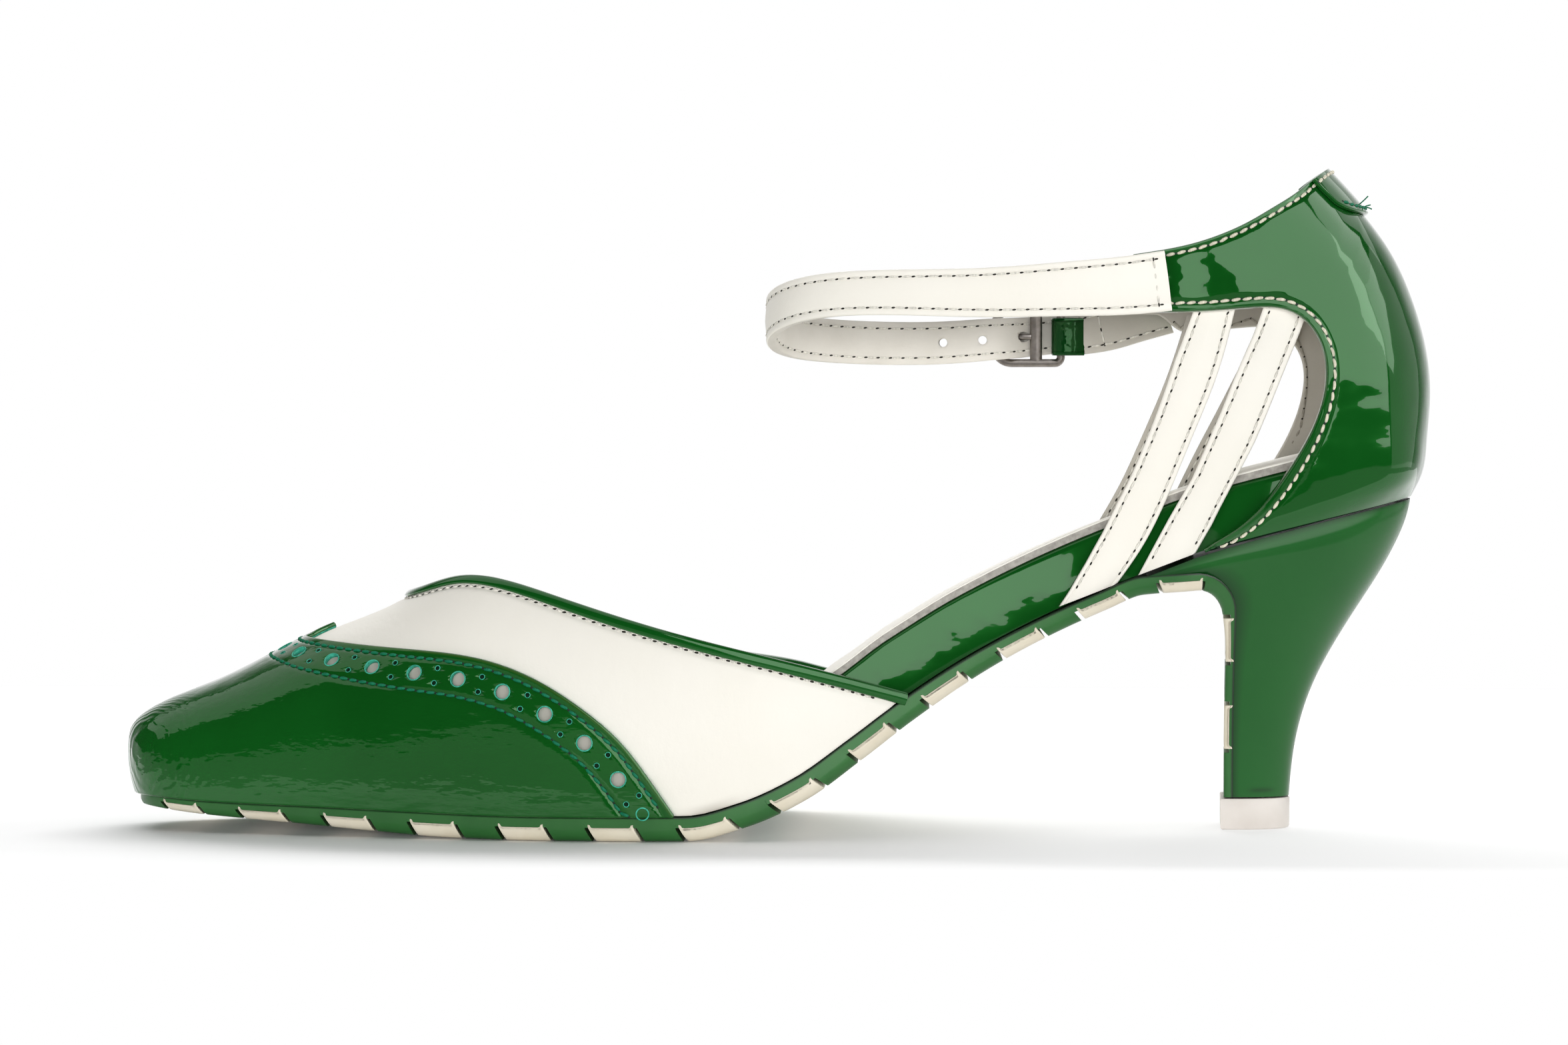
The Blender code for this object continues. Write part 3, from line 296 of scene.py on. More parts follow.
# Buckle on the outer side, with the keeper that holds it to the short strap
BUCKLE_Y, BUCKLE_Z = 27.0, 94.6
BUCKLE_FRONT_X, BUCKLE_BAR_X, BUCKLE_REAR_X = 42.2, 50.6, 55.5
BUCKLE_HALF_HEIGHT = 6.0
BUCKLE_WIRE = 0.8
BUCKLE_BAR_RADIUS = 1.2
BUCKLE_FRONT_RADIUS, BUCKLE_REAR_RADIUS = 3.6, 1.2
PRONG_RADIUS = 0.6
KEEPER_LEAF = 0.8
KEEPER_HALF_HEIGHT = 3.7
KEEPER_END_X = 60.0
KEEPER_NECK, KEEPER_ROW = 1.8, 0.9  # from the buckle to where the leaves close, and from edge to crown
BUCKLE_STRAP = table(
    Strap,
    (76.0, 26.4, 100.6, 11.0),
    (70.0, 26.9, 98.4, 10.0),
    (64.6, BUCKLE_Y, 96.3, 8.9),
    (KEEPER_END_X + 1.0, BUCKLE_Y, 95.3, 8.4),
)


def column(rows, name):
    return np.array([getattr(row, name) for row in rows])


def locate(at, xs):
    """The stretch of a curve that each place lies in, and the share of the way along it."""
    at = np.clip(at, xs[0], xs[-1])
    i = np.clip(np.searchsorted(xs, at, side="right") - 1, 0, len(xs) - 2)
    return i, (at - xs[i]) / (xs[i + 1] - xs[i])


def monotone(at, xs, ys):
    """Cubic curve through the points that never overshoots them, read at a place."""
    step = np.diff(xs)
    slope = np.diff(ys) / step
    both = slope[:-1] * slope[1:]
    total = slope[:-1] + slope[1:]
    turn = np.where(both > 0, 2 * both / np.where(both > 0, total, 1), 0)
    tangent = np.concatenate([slope[:1], turn, slope[-1:]])
    i, t = locate(at, xs)
    ends = ys[i] * (1 + 2 * t) * (1 - t) ** 2 + ys[i + 1] * t * t * (3 - 2 * t)
    return ends + step[i] * t * (1 - t) * (tangent[i] * (1 - t) - tangent[i + 1] * t)


def spline(at, xs, ys):
    """Smooth cubic curve through the points, read at a place."""
    count, step = len(xs), np.diff(xs)
    matrix, right = np.eye(count), np.zeros(count)
    for i in range(1, count - 1):
        matrix[i, i - 1 : i + 2] = step[i - 1], 2 * (step[i - 1] + step[i]), step[i]
        right[i] = 6 * ((ys[i + 1] - ys[i]) / step[i] - (ys[i] - ys[i - 1]) / step[i - 1])
    bend = np.linalg.solve(matrix, right)
    i, t = locate(at, xs)
    curve = (t**3 - t) * bend[i + 1] + ((1 - t) ** 3 - (1 - t)) * bend[i]
    return (1 - t) * ys[i] + t * ys[i + 1] + curve * step[i] * step[i] / 6


def read(rows, at, name, curve=spline):
    """A column of a table at a place. The table's first column holds its places."""
    return curve(at, column(rows, rows[0]._fields[0]), column(rows, name))


def arc_length(points):
    return np.concatenate([[0], np.cumsum(np.linalg.norm(np.diff(points, axis=0), axis=1))])


def even_points(rows, count):
    """Even points on a smooth line through rows of two or three coordinates and, after them, a width."""
    points = np.array(rows, float)
    length = arc_length(points[:, :3])
    at = np.linspace(0, length[-1], count)
    return np.stack([spline(at, length, values) for values in points.T], axis=1)


def unit(vectors):
    return vectors / np.linalg.norm(vectors, axis=-1, keepdims=True)


def smoothstep(t):
    t = np.clip(t, 0, 1)
    return t * t * (3 - 2 * t)


def outline_angle(x):
    """Angle that spreads the two rounded ends of the feather line."""
    middle, half = (TIP_X + BACK_X) / 2, (BACK_X - TIP_X) / 2
    return np.arccos(np.clip((middle - x) / half, -1, 1))


def outline_stations(count, inset=0.0):
    """Places along the shoe, close together at the two rounded ends."""
    angle = np.linspace(0, math.pi, count)
    middle, half = (TIP_X + BACK_X) / 2, (BACK_X - TIP_X) / 2 - inset
    return middle - half * np.cos(angle)


def feather(x):
    """The medial and lateral edges of the feather line."""
    angles = outline_angle(column(FEATHER, "x"))
    at = outline_angle(x)
    return (
        BALL_WIDTH * spline(at, angles, column(FEATHER, "medial")),
        BALL_WIDTH * spline(at, angles, column(FEATHER, "lateral")),
    )


def inset_outline(count, inset):
    """The feather line moved in by inset all round: places along the shoe and both edges."""
    x = outline_stations(count, inset)
    share = (x - x[0]) / (x[-1] - x[0])
    medial, lateral = feather(TIP_X + share * (BACK_X - TIP_X))
    middle, half = (medial + lateral) / 2, (lateral - medial) / 2
    kept = half - inset * smoothstep(half / (3 * inset))
    kept = np.maximum(kept, 0.4)
    return x, middle - kept, middle + kept


def bed(x):
    return read(BED, x, "z", monotone)


def bed_slope(x):
    return (bed(x + 1) - bed(x - 1)) / 2


def sole_path(count):
    """Inner face of the outsole in side view, from toe to lift: points with their normals, and lengths."""
    along = outline_stations(count)
    along = along[along < SOLE_LEAVES_BED_X]
    bend_x, bend_z = BREAST_X - BREAST_RADIUS, BREAST_TOP_Z - BREAST_RADIUS
    waist = np.linspace(SOLE_LEAVES_BED_X, bend_x, count // 8)
    waist_ends = np.array([SOLE_LEAVES_BED_X - 10, SOLE_LEAVES_BED_X, WAIST_X, bend_x])
    waist_z = np.append(bed(waist_ends[:2]), [BREAST_TOP_Z - WAIST_DROP, BREAST_TOP_Z])
    waist_line = monotone(waist, waist_ends, waist_z)
    turn = np.linspace(0, math.pi / 2, count // 8)[1:]
    drop = np.linspace(bend_z, SOLE_END_Z, count // 8)[1:]
    x = np.concatenate([along, waist, bend_x + BREAST_RADIUS * np.sin(turn), np.full(len(drop), BREAST_X)])
    z = np.concatenate([bed(along), waist_line, bend_z + BREAST_RADIUS * np.cos(turn), drop])
    points = np.stack([x, z], axis=1)
    length = arc_length(points)
    tangent = unit(np.gradient(points, length, axis=0))
    return np.stack([x, z, -tangent[:, 1], tangent[:, 0]]), length


SOLE_LINE, SOLE_LENGTH = sole_path(400)


def on_sole(path, depth):
    """Place in side view at a length along the sole path and a depth below its inner face."""
    x, z, normal_x, normal_z = (np.interp(path, SOLE_LENGTH, values) for values in SOLE_LINE)
    return x - normal_x * depth, z - normal_z * depth


def sole_depth(path):
    """The sole's depth, thinner down the front of the heel."""
    depth = read(SOLE_DEPTH, path, "depth", monotone)
    return depth * (1 - BREAST_THINNING * smoothstep((path - THINNING_START) / 12))


def sole_edges(path):
    """Both edges of the sole, from the feather line and then down the heel's front corners."""
    x, _ = on_sole(path, 0.0)
    medial, lateral = feather(np.minimum(x, BREAST_X))
    rise = SOLE_LENGTH[-1] - path
    half = read(HEEL, rise, "half")
    share = smoothstep((rise - column(HEEL, "rise")[-3]) / (HEEL_BEND_END - HEEL_BEND_START))
    medial = share * medial - (1 - share) * half
    lateral = share * lateral + (1 - share) * half
    return medial - SOLE_PROUD, lateral + SOLE_PROUD


def bar_ends(index):
    middle = BAR_FIRST + BAR_PITCH * index
    if index >= BAR_BEND_INDEX:
        middle += BAR_BEND_EXTRA
    return middle - BAR_LENGTH / 2, middle + BAR_LENGTH / 2


def half_round(squareness, count):
    """A D shape: shares of the way back from its flat front, and across from its middle."""
    angle = np.linspace(-math.pi / 2, math.pi / 2, count)
    power = 2 / squareness
    share = np.cos(angle) ** power
    share[0] = share[-1] = 0
    return share, np.sign(np.sin(angle)) * np.abs(np.sin(angle)) ** power


def heel_loop(level, count, top):
    """Loop of the heel, flat at the breast and round at the back."""
    front_x, front_z = on_sole(SOLE_LENGTH[-1] - level.rise, -GAP)
    share, side = half_round(level.squareness, count)
    x = front_x + (level.back_x - front_x) * share
    z = bed(x) - GAP if top else front_z + (level.back_z - front_z) * share
    return np.stack([x, level.half * side, z], axis=1)


def footbed_tilt(x):
    """How far the lateral edge of the footbed lies below the medial one."""
    return FOOTBED_TILT * smoothstep((x - TILT_START_X) / 40) * smoothstep((TILT_END_X - x) / 30)


def footbed_top(x):
    """Height of the footbed's medial upper edge: full under arch and heel, thin under the ball."""
    share = smoothstep((x - FOREFOOT_FULL_X) / (FOOTBED_FULL_X - FOREFOOT_FULL_X))
    thickness = FOREFOOT_THICKNESS + (FOOTBED_THICKNESS - FOREFOOT_THICKNESS) * share
    return bed(x) + GAP + thickness * np.sqrt(1 + bed_slope(x) ** 2)


def crown(x, name):
    """One column of the crown table, read with its stations spread out at the toe."""
    spread = np.sqrt(np.maximum(column(CROWN, "x") - TIP_X, 0))
    return spline(np.sqrt(np.maximum(x - TIP_X, 0)), spread, column(CROWN, name))


def vamp_point(x, girth):
    """Outer face of the vamp. girth runs from the medial feather edge, 0, over the foot to 1."""
    medial, lateral = feather(x)
    low = bed(x) + GAP
    angle = math.pi * girth
    power = 2 / crown(x, "squareness")
    across = np.abs(np.cos(angle)) ** power
    up = np.abs(np.sin(angle)) ** power
    middle = crown(x, "y")
    side = np.where(girth < 0.5, medial, lateral)
    y = middle + (side - middle) * across - crown(x, "bulge") * np.sin(2 * angle)
    z = low + (crown(x, "z") - low) * up
    rise = np.clip((z - low) / NOSE_HEIGHT, 0, 1)
    nose = NOSE_OVERHANG * np.exp((TIP_X - x) / NOSE_REACH) * 4 * rise * (1 - rise)
    return np.stack([x - nose, y, z], axis=-1)


def girth_stations(half_count):
    """Steps over the foot, closer together by the sole."""
    half = 0.5 * np.linspace(0, 1, half_count + 1) ** 1.6
    return np.concatenate([half, 1 - half[-2::-1]])


def lateral_dip(x):
    """How far the lateral top edge of the vamp lies below the medial one."""
    eased = (LATERAL_DIP - LATERAL_DIP_END) * smoothstep((x - DIP_EASE_X) / 20)
    return LATERAL_DIP * smoothstep((x - DIP_START_X) / 28) - eased


def edge_along(girth, rows, dip=False):
    """Where each girth line of the vamp rises through an edge given in side view."""
    x = np.linspace(rows[0].x, rows[-1].x, 1600)
    edge_z = read(rows, x, "z")
    ends = []
    for g in girth:
        lower = lateral_dip(x) if dip and g > 0.5 else 0
        above = vamp_point(x, np.full_like(x, g))[:, 2] - edge_z + lower
        crossing = int(np.argmax(above > 0))
        before, after = above[crossing - 1], above[crossing]
        ends.append(x[crossing] - (x[1] - x[0]) * after / (after - before))
    return np.array(ends)


def wing_ends(girth):
    """Rear edge of the toe cap: two wings that meet in a point on the crown."""
    ends = edge_along(girth, WING)
    point = np.clip(1 - np.abs(girth - 0.5) / WING_POINT_SHARE, 0, 1)
    return ends + WING_POINT_LENGTH * point**1.4


def cup_rows(z):
    """Back end, start of the round back and half width of the counter at a height."""
    back = read(CUP, z, "back")
    return back, back - CUP_DEPTH, read(CUP, z, "half")


def cup_turn(x, z):
    """How far round the counter a place is: 0 at the back, 0.5 where the sides begin, then forward."""
    _, start, _ = cup_rows(z)
    share = np.clip((x - start) / CUP_DEPTH, 0, 1)
    round_part = np.arccos(share ** (CUP_SQUARENESS / 2)) / math.pi
    return np.where(x > start, round_part, 0.5 + (start - x) / (2 * CUP_DEPTH))


def cup_point(turn, z, side):
    """Outer face of the counter, side -1 for medial and +1 for lateral."""
    _, start, half = cup_rows(z)
    angle = math.pi * np.minimum(turn, 0.5)
    power = 2 / CUP_SQUARENESS
    x = start + CUP_DEPTH * np.abs(np.cos(angle)) ** power
    x = x - np.maximum(turn - 0.5, 0) * 2 * CUP_DEPTH
    y = side * half * np.abs(np.sin(angle)) ** power
    return np.stack([x, y, z], axis=-1)


def lowered(turn, z, side):
    """The lateral band sits lower than the medial one, towards the front."""
    drop = LATERAL_DROP * smoothstep(turn / 0.7) * smoothstep((z - DROP_LOW_Z) / 18)
    return z - drop * (side > 0)


def seat_edge(count):
    """Lower edge of the counter, from its toe back to the middle of the heel."""
    z = np.full(count, HEEL_HEIGHT)
    turn = np.linspace(0, 1, count)[::-1] * float(cup_turn(COUNTER_TOE_X, bed(COUNTER_TOE_X)))
    for _ in range(6):
        z = bed(cup_point(turn, z, 1)[:, 0]) + GAP
    return turn, z


def band_face(x, z, side, offset):
    """Point off the outer face of the counter's front band."""
    point = cup_point(cup_turn(x, z), np.asarray(z, float), side)
    point[..., 1] += side * offset
    return point


def strap_foot(x, side):
    """Middle of a side strap's thickness where it lies on the side of the footbed."""
    medial, lateral = feather(np.array([x]))
    edge = (medial if side < 0 else lateral)[0]
    return edge - side * (FOOTBED_INSET - 2 * GAP - SIDE_STRAP_THICKNESS / 2)


def strap_head(row, side):
    """Middle of a side strap's thickness where it is tucked inside the band."""
    inside = -COUNTER_WALL - 2 * GAP - SIDE_STRAP_THICKNESS / 2
    return band_face(np.array([row.rear_x]), np.array([row.rear_z]), side, inside)[0, 1]


def strap_normals(points):
    """Outward faces of an upright strap that runs round the ankle."""
    along = np.gradient(points, axis=0)
    up = np.tile([0.0, 0.0, 1.0], (len(points), 1))
    return unit(np.cross(along, up))


def prong_path():
    """The prong from the buckle's bar, out through the strap, to the front of the frame."""
    reach = BUCKLE_WIRE + GAP + PRONG_RADIUS
    return [
        (BUCKLE_BAR_X - 0.8 * BUCKLE_WIRE - GAP - 0.1, BUCKLE_Y, BUCKLE_Z),
        (BUCKLE_BAR_X - 3.0, BUCKLE_Y, BUCKLE_Z),
        (BUCKLE_FRONT_X + 3.4, BUCKLE_Y + 0.5 * reach, BUCKLE_Z),
        (BUCKLE_FRONT_X + 0.6, BUCKLE_Y + reach, BUCKLE_Z),
        (BUCKLE_FRONT_X - 0.9, BUCKLE_Y + reach, BUCKLE_Z),
    ]


# Finer sizes of the looks
CAP_LIFT, CAP_SKIN = 1.4, 1.3
VAMP_LIFT, VAMP_SINK = 0.2, 0.25  # the vamp's face beside the cap and under it
CAP_EDGE_ROW, CAP_HOLE_ROW, CAP_INNER_ROW = 1.3, 4.3, 7.5  # distances in from the wing edge
HOLE_START, HOLE_PITCH, HOLE_RADIUS, HOLE_DEPTH = 8.3, 9.2, 1.45, 1.1
HOLE_CLEAR, PIN_CLEAR = 2.5, 3.0  # lengths kept free at the cap's point
HOLE_RIM, PIN_RIM = 0.13, 0.08
PIN_RADIUS, PIN_DEPTH, PIN_OFFSET = 0.5, 0.8, 1.45
CAP_COVER = 1.5  # how far the cap reaches past the vamp's sunk part
SCUFF_X, SCUFF_REACH = -11.0, 4.5
SMUDGE_X, SMUDGE_Z = 92.6, 7.5
# Depth and width of the grooves under the seams
CAP_GROOVE, BINDING_GROOVE, CUTOUT_GROOVE, COLLAR_GROOVE = (0.22, 0.6), (0.25, 0.7), (0.3, 0.55), (0.28, 0.5)
CUTOUT_BEAD = 0.12
RIM_STEPS = 4  # of a wall's rounded edge
STRAP_CROWN, STRAP_SOFT, STRAP_GROOVE = 0.2, 0.5, 0.32  # rise, edge radius and width of the groove
BINDING_ROW, BINDING_LEAF, BINDING_FIT = 1.95, 0.62, 0.15
# Half of the binding's profile: down from the vamp's edge, and out from its face in leaves
BINDING_HALF = ((1.7, 0.0), (1.8, 0.35), (1.65, 0.7), (1.15, 1.05), (0.5, 1.15), (-0.1, 0.85), (-0.45, 0.25))
COLLAR_ROW, CUTOUT_ROW = 0.95, 1.3
STRAP_ROW, SIDE_STRAP_ROW = 1.35, 1.25
STITCH_PITCH, STITCH_GAP = 2.05, 0.3
STRAP_STITCH = {"radius": 0.22, "gap": 0.75, "mark": 1.8}
CREAM_STITCH = {"radius": 0.33, "skew": 0.1}
STITCH_SHARES = (-1.0, -0.82, -0.4, 0.0, 0.4, 0.82, 1.0)
MARK_SIDES, MARK_RISE, MARK_DOME = 8, 0.03, 0.04  # needle marks: dark discs, painted shade of the needle holes
PLEAT_MIDDLE, PLEAT_REACH = (-0.119, -0.012, 0.012), 0.017  # in metres

# Sole: its bars' ends have ears, each a place in from the end, a rise and a trim
FIRST_BAR_SHIFT = 1.6
BAR_PROUD, BAR_SEAT = 0.14, 0.05
BAR_EAR = ((0.0, 0.55, 0.12), (0.08, 0.6, 0.03), (0.4, 0.5, 0.0), (0.6, 0.1, 0.0), (0.9, 0.0, 0.0))
GROOVE_EDGE = 0.02
TOE_PATHS = (0.05, 0.3, 0.8, 1.6, 2.6, 3.6)  # loops of the sole, closer together at the round toe
# The slits between the bars lean back, less from the arch on and not at all on the heel
SLIT_LEAN, ARCH_LOSS, HEEL_LOSS = 1.5, 0.8, 0.7
ARCH_PATH, HEEL_PATH = 115.0, 205.0

# Ripples in the band: where each starts and tops out, its lean and fall, its height, reach and slope
Ripple = namedtuple("Ripple", "start top lean fall z reach slope")
RIPPLES = table(
    Ripple,
    (73.6, 76.4, 0.0, 3.5, 104, 5.0, 0.055),
    (80.2, 85.6, 0.9, 9, 105.4, 4.6, 0.055),
    (91.0, 94.8, 0.0, 4, 103, 1.4, 0.05),
)
# How far the counter's sides stand out over its plain form, by the height over the heel
Fill = namedtuple("Fill", "height out")
WALL_FILL = table(
    Fill,
    (0.0, 0.0), (1.1, 0.65), (2.4, 1.2), (3.7, 1.55), (5.2, 1.6),
    (8.2, 1.2), (12.6, 0.6), (16.6, 0.25), (20.6, 0.0),
)
# How far the medial straps' edges stand off a plain taper, at shares of the way from foot to head.
# Each edge is named by its strap and by its first column in the strap's table
STRAP_FLARE = {
    ("front", 0): (
        (0, 0.05, 0.15, 0.25, 0.35, 0.8, 0.95, 1),
        (-1.7, -1.25, -0.9, -0.9, -1.4, -1.6, -0.9, -0.7),
    ),
    ("front", 2): ((0, 1), (0.0, -1.4)),
    ("rear", 0): (
        (0, 0.1, 0.2, 0.35, 0.5, 0.7, 0.85, 1),
        (-0.7, -0.35, 0, 0.75, 0.3, -0.2, -0.3, -1.0),
    ),
    ("rear", 2): ((0, 0.12, 0.3, 0.45, 1), (-0.2, 0.5, 0.4, 0.5, -0.7)),
}
# The outer band narrows to the short strap that covers its end
LATERAL_BAND_TAPER, TAPER_START_X, TAPER_LENGTH, TAPER_LOW_Z = 3.5, 79, 6, 90
# The lining's seams are sewn only where they show
LINING_FRONT_X, LINING_BAND_Z, LINING_BACK_X = 78, 95, 92
TAB_TURN, TAB_LOW_Z, TAB_CORNER = 0.24, 117.0, 4.2
TAB_THREAD_X, TAB_THREAD_RADIUS = 111, 0.13
TAB_THREADS = ((-7.5, 117.9, 0.5), (-6.0, 119.0, 1.4), (-5.0, 117.6, -0.3))  # y, z and rise of loose ends
# The heel's front is turned a little, its lateral edge further back, from a length along the sole on
BREAST_TURN, TURN_START, TURN_LENGTH = 0.062, 212.0, 12.0

RANDOM = np.random.default_rng(11)
MATERIAL = {}
THREADS = {}


def make_material(name, color, roughness, **sockets):
    """Principled material; other sockets are named with _ for each space."""
    material = bpy.data.materials.new(name)
    material.use_nodes = True
    shader = material.node_tree.nodes["Principled BSDF"]
    shader.inputs["Base Color"].default_value = (*color, 1)
    shader.inputs["Roughness"].default_value = roughness
    for socket, value in sockets.items():
        shader.inputs[socket.replace("_", " ")].default_value = value
    MATERIAL[name] = material
    return material.node_tree, shader


def add_node(tree, kind, out, inputs, **settings):
    """A shader node whose inputs are values or other nodes' outputs. Gives its named output."""
    node = tree.nodes.new("ShaderNode" + kind)
    for name, value in settings.items():
        setattr(node, name, value)
    for socket, value in inputs.items():
        if isinstance(value, bpy.types.NodeSocket):
            tree.links.new(value, node.inputs[socket])
        else:
            node.inputs[socket].default_value = value
    return node.outputs[out]


def own_place(tree):
    """Place in the shoe's own metres."""
    return add_node(tree, "TexCoord", "Object", {})


def noise(tree, scale, detail=2.0, stretch=(1, 1, 1), turn=(0, 0, 0)):
    moved = {"Vector": own_place(tree), "Scale": stretch, "Rotation": turn}
    spot = add_node(tree, "Mapping", "Vector", moved)
    return add_node(tree, "TexNoise", "Fac", {"Vector": spot, "Scale": scale, "Detail": detail})


def cells(tree, scale):
    """Small cells, as of leather grain."""
    return add_node(tree, "TexVoronoi", "Distance", {"Vector": own_place(tree), "Scale": scale})


def mapped(tree, value, from_low, from_high, to_low, to_high):
    ends = {"From Min": from_low, "From Max": from_high, "To Min": to_low, "To Max": to_high}
    return add_node(tree, "MapRange", "Result", {"Value": value, **ends})


def math_node(tree, operation, first, second):
    return add_node(tree, "Math", "Value", {0: first, 1: second}, operation=operation)


def ramp(tree, value, stops):
    """Colours along a value: pairs of place and colour."""
    node = tree.nodes.new("ShaderNodeValToRGB")
    for element, (place, color) in zip(node.color_ramp.elements, stops):
        element.position = place
        element.color = (*color, 1)
    tree.links.new(value, node.inputs["Fac"])
    return node.outputs["Color"]


def toned(tree, shader, color, dirt_and_shade):
    """Base colour that turns to a second colour where the mesh has tone: dirt and wear on some pieces,
    painted shade in seams, creases and under the toe cap on others.
    """
    tone = add_node(tree, "Attribute", "Fac", {}, attribute_name="tone")
    mix = add_node(tree, "Mix", "Result", {"Factor": tone, "A": color, "B": (*dirt_and_shade, 1)}, data_type="RGBA")
    tree.links.new(mix, shader.inputs["Base Color"])


def bumped(tree, shader, layers):
    """Stacked bumps on base and coat: a texture, what it is told, a height in millimetres and a strength."""
    normal = None
    for texture, told, distance, strength in layers:
        inputs = {"Height": texture(tree, *told), "Distance": distance * MM, "Strength": strength}
        if normal:
            inputs["Normal"] = normal
        normal = add_node(tree, "Bump", "Normal", inputs)
    for socket in ("Normal", "Coat Normal"):
        tree.links.new(normal, shader.inputs[socket])


def pleats(tree):
    """Fine gathers round the bottom of the toe, where the patent is pulled over the last."""
    spot = own_place(tree)
    turned = add_node(tree, "Mapping", "Vector", {"Vector": spot, "Rotation": (0.25, 0, 0.75)})
    gathers = {"Scale": 420, "Distortion": 5, "Detail": 1.5, "Detail Scale": 0.6}
    wave = add_node(tree, "TexWave", "Fac", {"Vector": turned, **gathers}, bands_direction="Y")
    reach = add_node(tree, "VectorMath", "Value", {0: spot, 1: PLEAT_MIDDLE}, operation="DISTANCE")
    return math_node(tree, "MULTIPLY", wave, mapped(tree, reach, 0.5 * PLEAT_REACH, PLEAT_REACH, 1.0, 0.0))


def make_finish(
    name, color, roughness, specular=0.5, grain=None, shades=None, inset=0.25, dirt_and_shade=None, bumps=(), **sockets
):
    """Material that runs between two shades over a noise, with dirt or painted shade where the mesh has tone,
    and bumps.
    """
    tree, shader = make_material(name, color, roughness, Specular_IOR_Level=specular, **sockets)
    if shades is not None:
        shaded = ramp(tree, noise(tree, *grain), ((inset, shades[0]), (1 - inset, shades[1])))
        if dirt_and_shade:
            toned(tree, shader, shaded, dirt_and_shade)
        else:
            tree.links.new(shaded, shader.inputs["Base Color"])
    if bumps:
        bumped(tree, shader, bumps)
    return tree, shader


def make_patents():
    skin = ((noise, (70, 2), 0.5, 0.7), (noise, (300, 2, (0.5, 0.5, 1)), 0.04, 0.5))
    wrinkles = (
        (noise, (420, 2, (0.5, 0.5, 1)), 0.10, 0.6),
        (noise, (700, 2, (0.4, 0.4, 1)), 0.08, 0.6),
        (noise, (450, 3, (0.1, 1, 1)), 0.12, 0.6),
        (pleats, (), 0.12, 0.6),
    )
    shades = ((0.0025, 0.064, 0.0057), (0.0033, 0.0755, 0.0074))
    green_shine = (0.15, 1.0, 0.2, 1.0)
    for name, bumps in (("patent_green", skin), ("toe_patent", skin + wrinkles)):
        make_finish(
            name, (0.0035, 0.085, 0.008), 0.1, 0.35, (45, 3), shades, 0.3, (0.05, 0.10, 0.02), bumps,
            Coat_Weight=0.8, Coat_Roughness=0.02, Specular_Tint=green_shine,
        )
    # The keeper's patent is a darker copy of the green patent: painted shade.
    make_finish(
        "keeper_patent_painted_shade", (0.002, 0.032, 0.005), 0.1, 0.35, bumps=((noise, (300, 2), 0.2, 0.7),),
        Coat_Weight=0.35, Coat_Roughness=0.03, Specular_Tint=green_shine,
    )
    # heel_lacquer's dark tone colour serves both a smudge and painted shade in the heel's seams.
    make_finish(
        "heel_lacquer", (0.006, 0.095, 0.012), 0.45, 0.1, (60, 4),
        ((0.0045, 0.082, 0.010), (0.0063, 0.091, 0.0116)), 0.3, (0.003, 0.035, 0.006),
        ((noise, (90, 2), 0.05, 0.3), (noise, (1500, 2), 0.01, 0.25)), Coat_Weight=0.55, Coat_Roughness=0.16,
    )


def make_rubbers():
    # sole_green's dark tone colour is painted shade along the seam with the upper.
    make_finish(
        "sole_green", (0.020, 0.125, 0.022), 0.36, 0.45, (120, 4),
        ((0.014, 0.092, 0.017), (0.021, 0.118, 0.023)), dirt_and_shade=(0.004, 0.016, 0.005),
        bumps=((noise, (1100, 3), 0.03, 0.5),),
    )
    fine = ((noise, (900, 3), 0.04, 0.5),)
    make_finish(
        "sole_cream", (0.80, 0.73, 0.58), 0.42, 0.45, (160, 4), ((0.61, 0.55, 0.425), (0.69, 0.64, 0.525)),
        dirt_and_shade=(0.20, 0.16, 0.10), bumps=fine,
    )
    make_finish(
        "lift_rubber", (0.79, 0.73, 0.67), 0.42, 0.45, (160, 4), ((0.57, 0.525, 0.48), (0.645, 0.605, 0.565)),
        bumps=fine,
    )


def make_leathers():
    white = np.array([(0.84, 0.81, 0.73), (0.875, 0.85, 0.78)])
    grains = (
        (noise, (85, 3), 0.6, 0.5),
        (noise, (420, 3, (2.2, 1, 1)), 0.10, 0.5),
        (cells, (2300,), 0.03, 0.35),
    )
    # vamp_leather_painted_shade is the white leather made darker: painted shade on the vamp.
    for name, share in (("white_leather", 1.0), ("vamp_leather_painted_shade", 0.93)):
        tree, shader = make_finish(
            name, (0.86, 0.84, 0.78), 0.46, 0.4, (38, 5), share * white, dirt_and_shade=(0.30, 0.27, 0.22), bumps=grains
        )
        tree.links.new(mapped(tree, noise(tree, 240, 3), 0, 1, 0.36, 0.54), shader.inputs["Roughness"])
    pores = (cells, (1900,), 0.04, 0.4)
    make_finish(
        "lining", (0.66, 0.63, 0.56), 0.62, 0.3, (90, 5), ((0.47, 0.445, 0.39), (0.545, 0.52, 0.465)),
        dirt_and_shade=(0.16, 0.14, 0.11), bumps=((noise, (520, 4, (1, 1, 2.5)), 0.10, 0.5), pores),
    )
    make_finish(
        "strap_lining", (0.70, 0.67, 0.61), 0.58, 0.3, (110, 5), ((0.64, 0.61, 0.55), (0.74, 0.71, 0.65)),
        dirt_and_shade=(0.22, 0.19, 0.15), bumps=((noise, (900, 3, (0.25, 1, 1), (0, -0.65, 0)), 0.14, 0.8), pores),
    )
    make_finish(
        "cut_edge", (0.36, 0.34, 0.31), 0.8, 0.2, (900, 4), ((0.28, 0.265, 0.24), (0.44, 0.42, 0.38)), 0.3,
        bumps=((noise, (1600, 3), 0.12, 0.8),),
    )


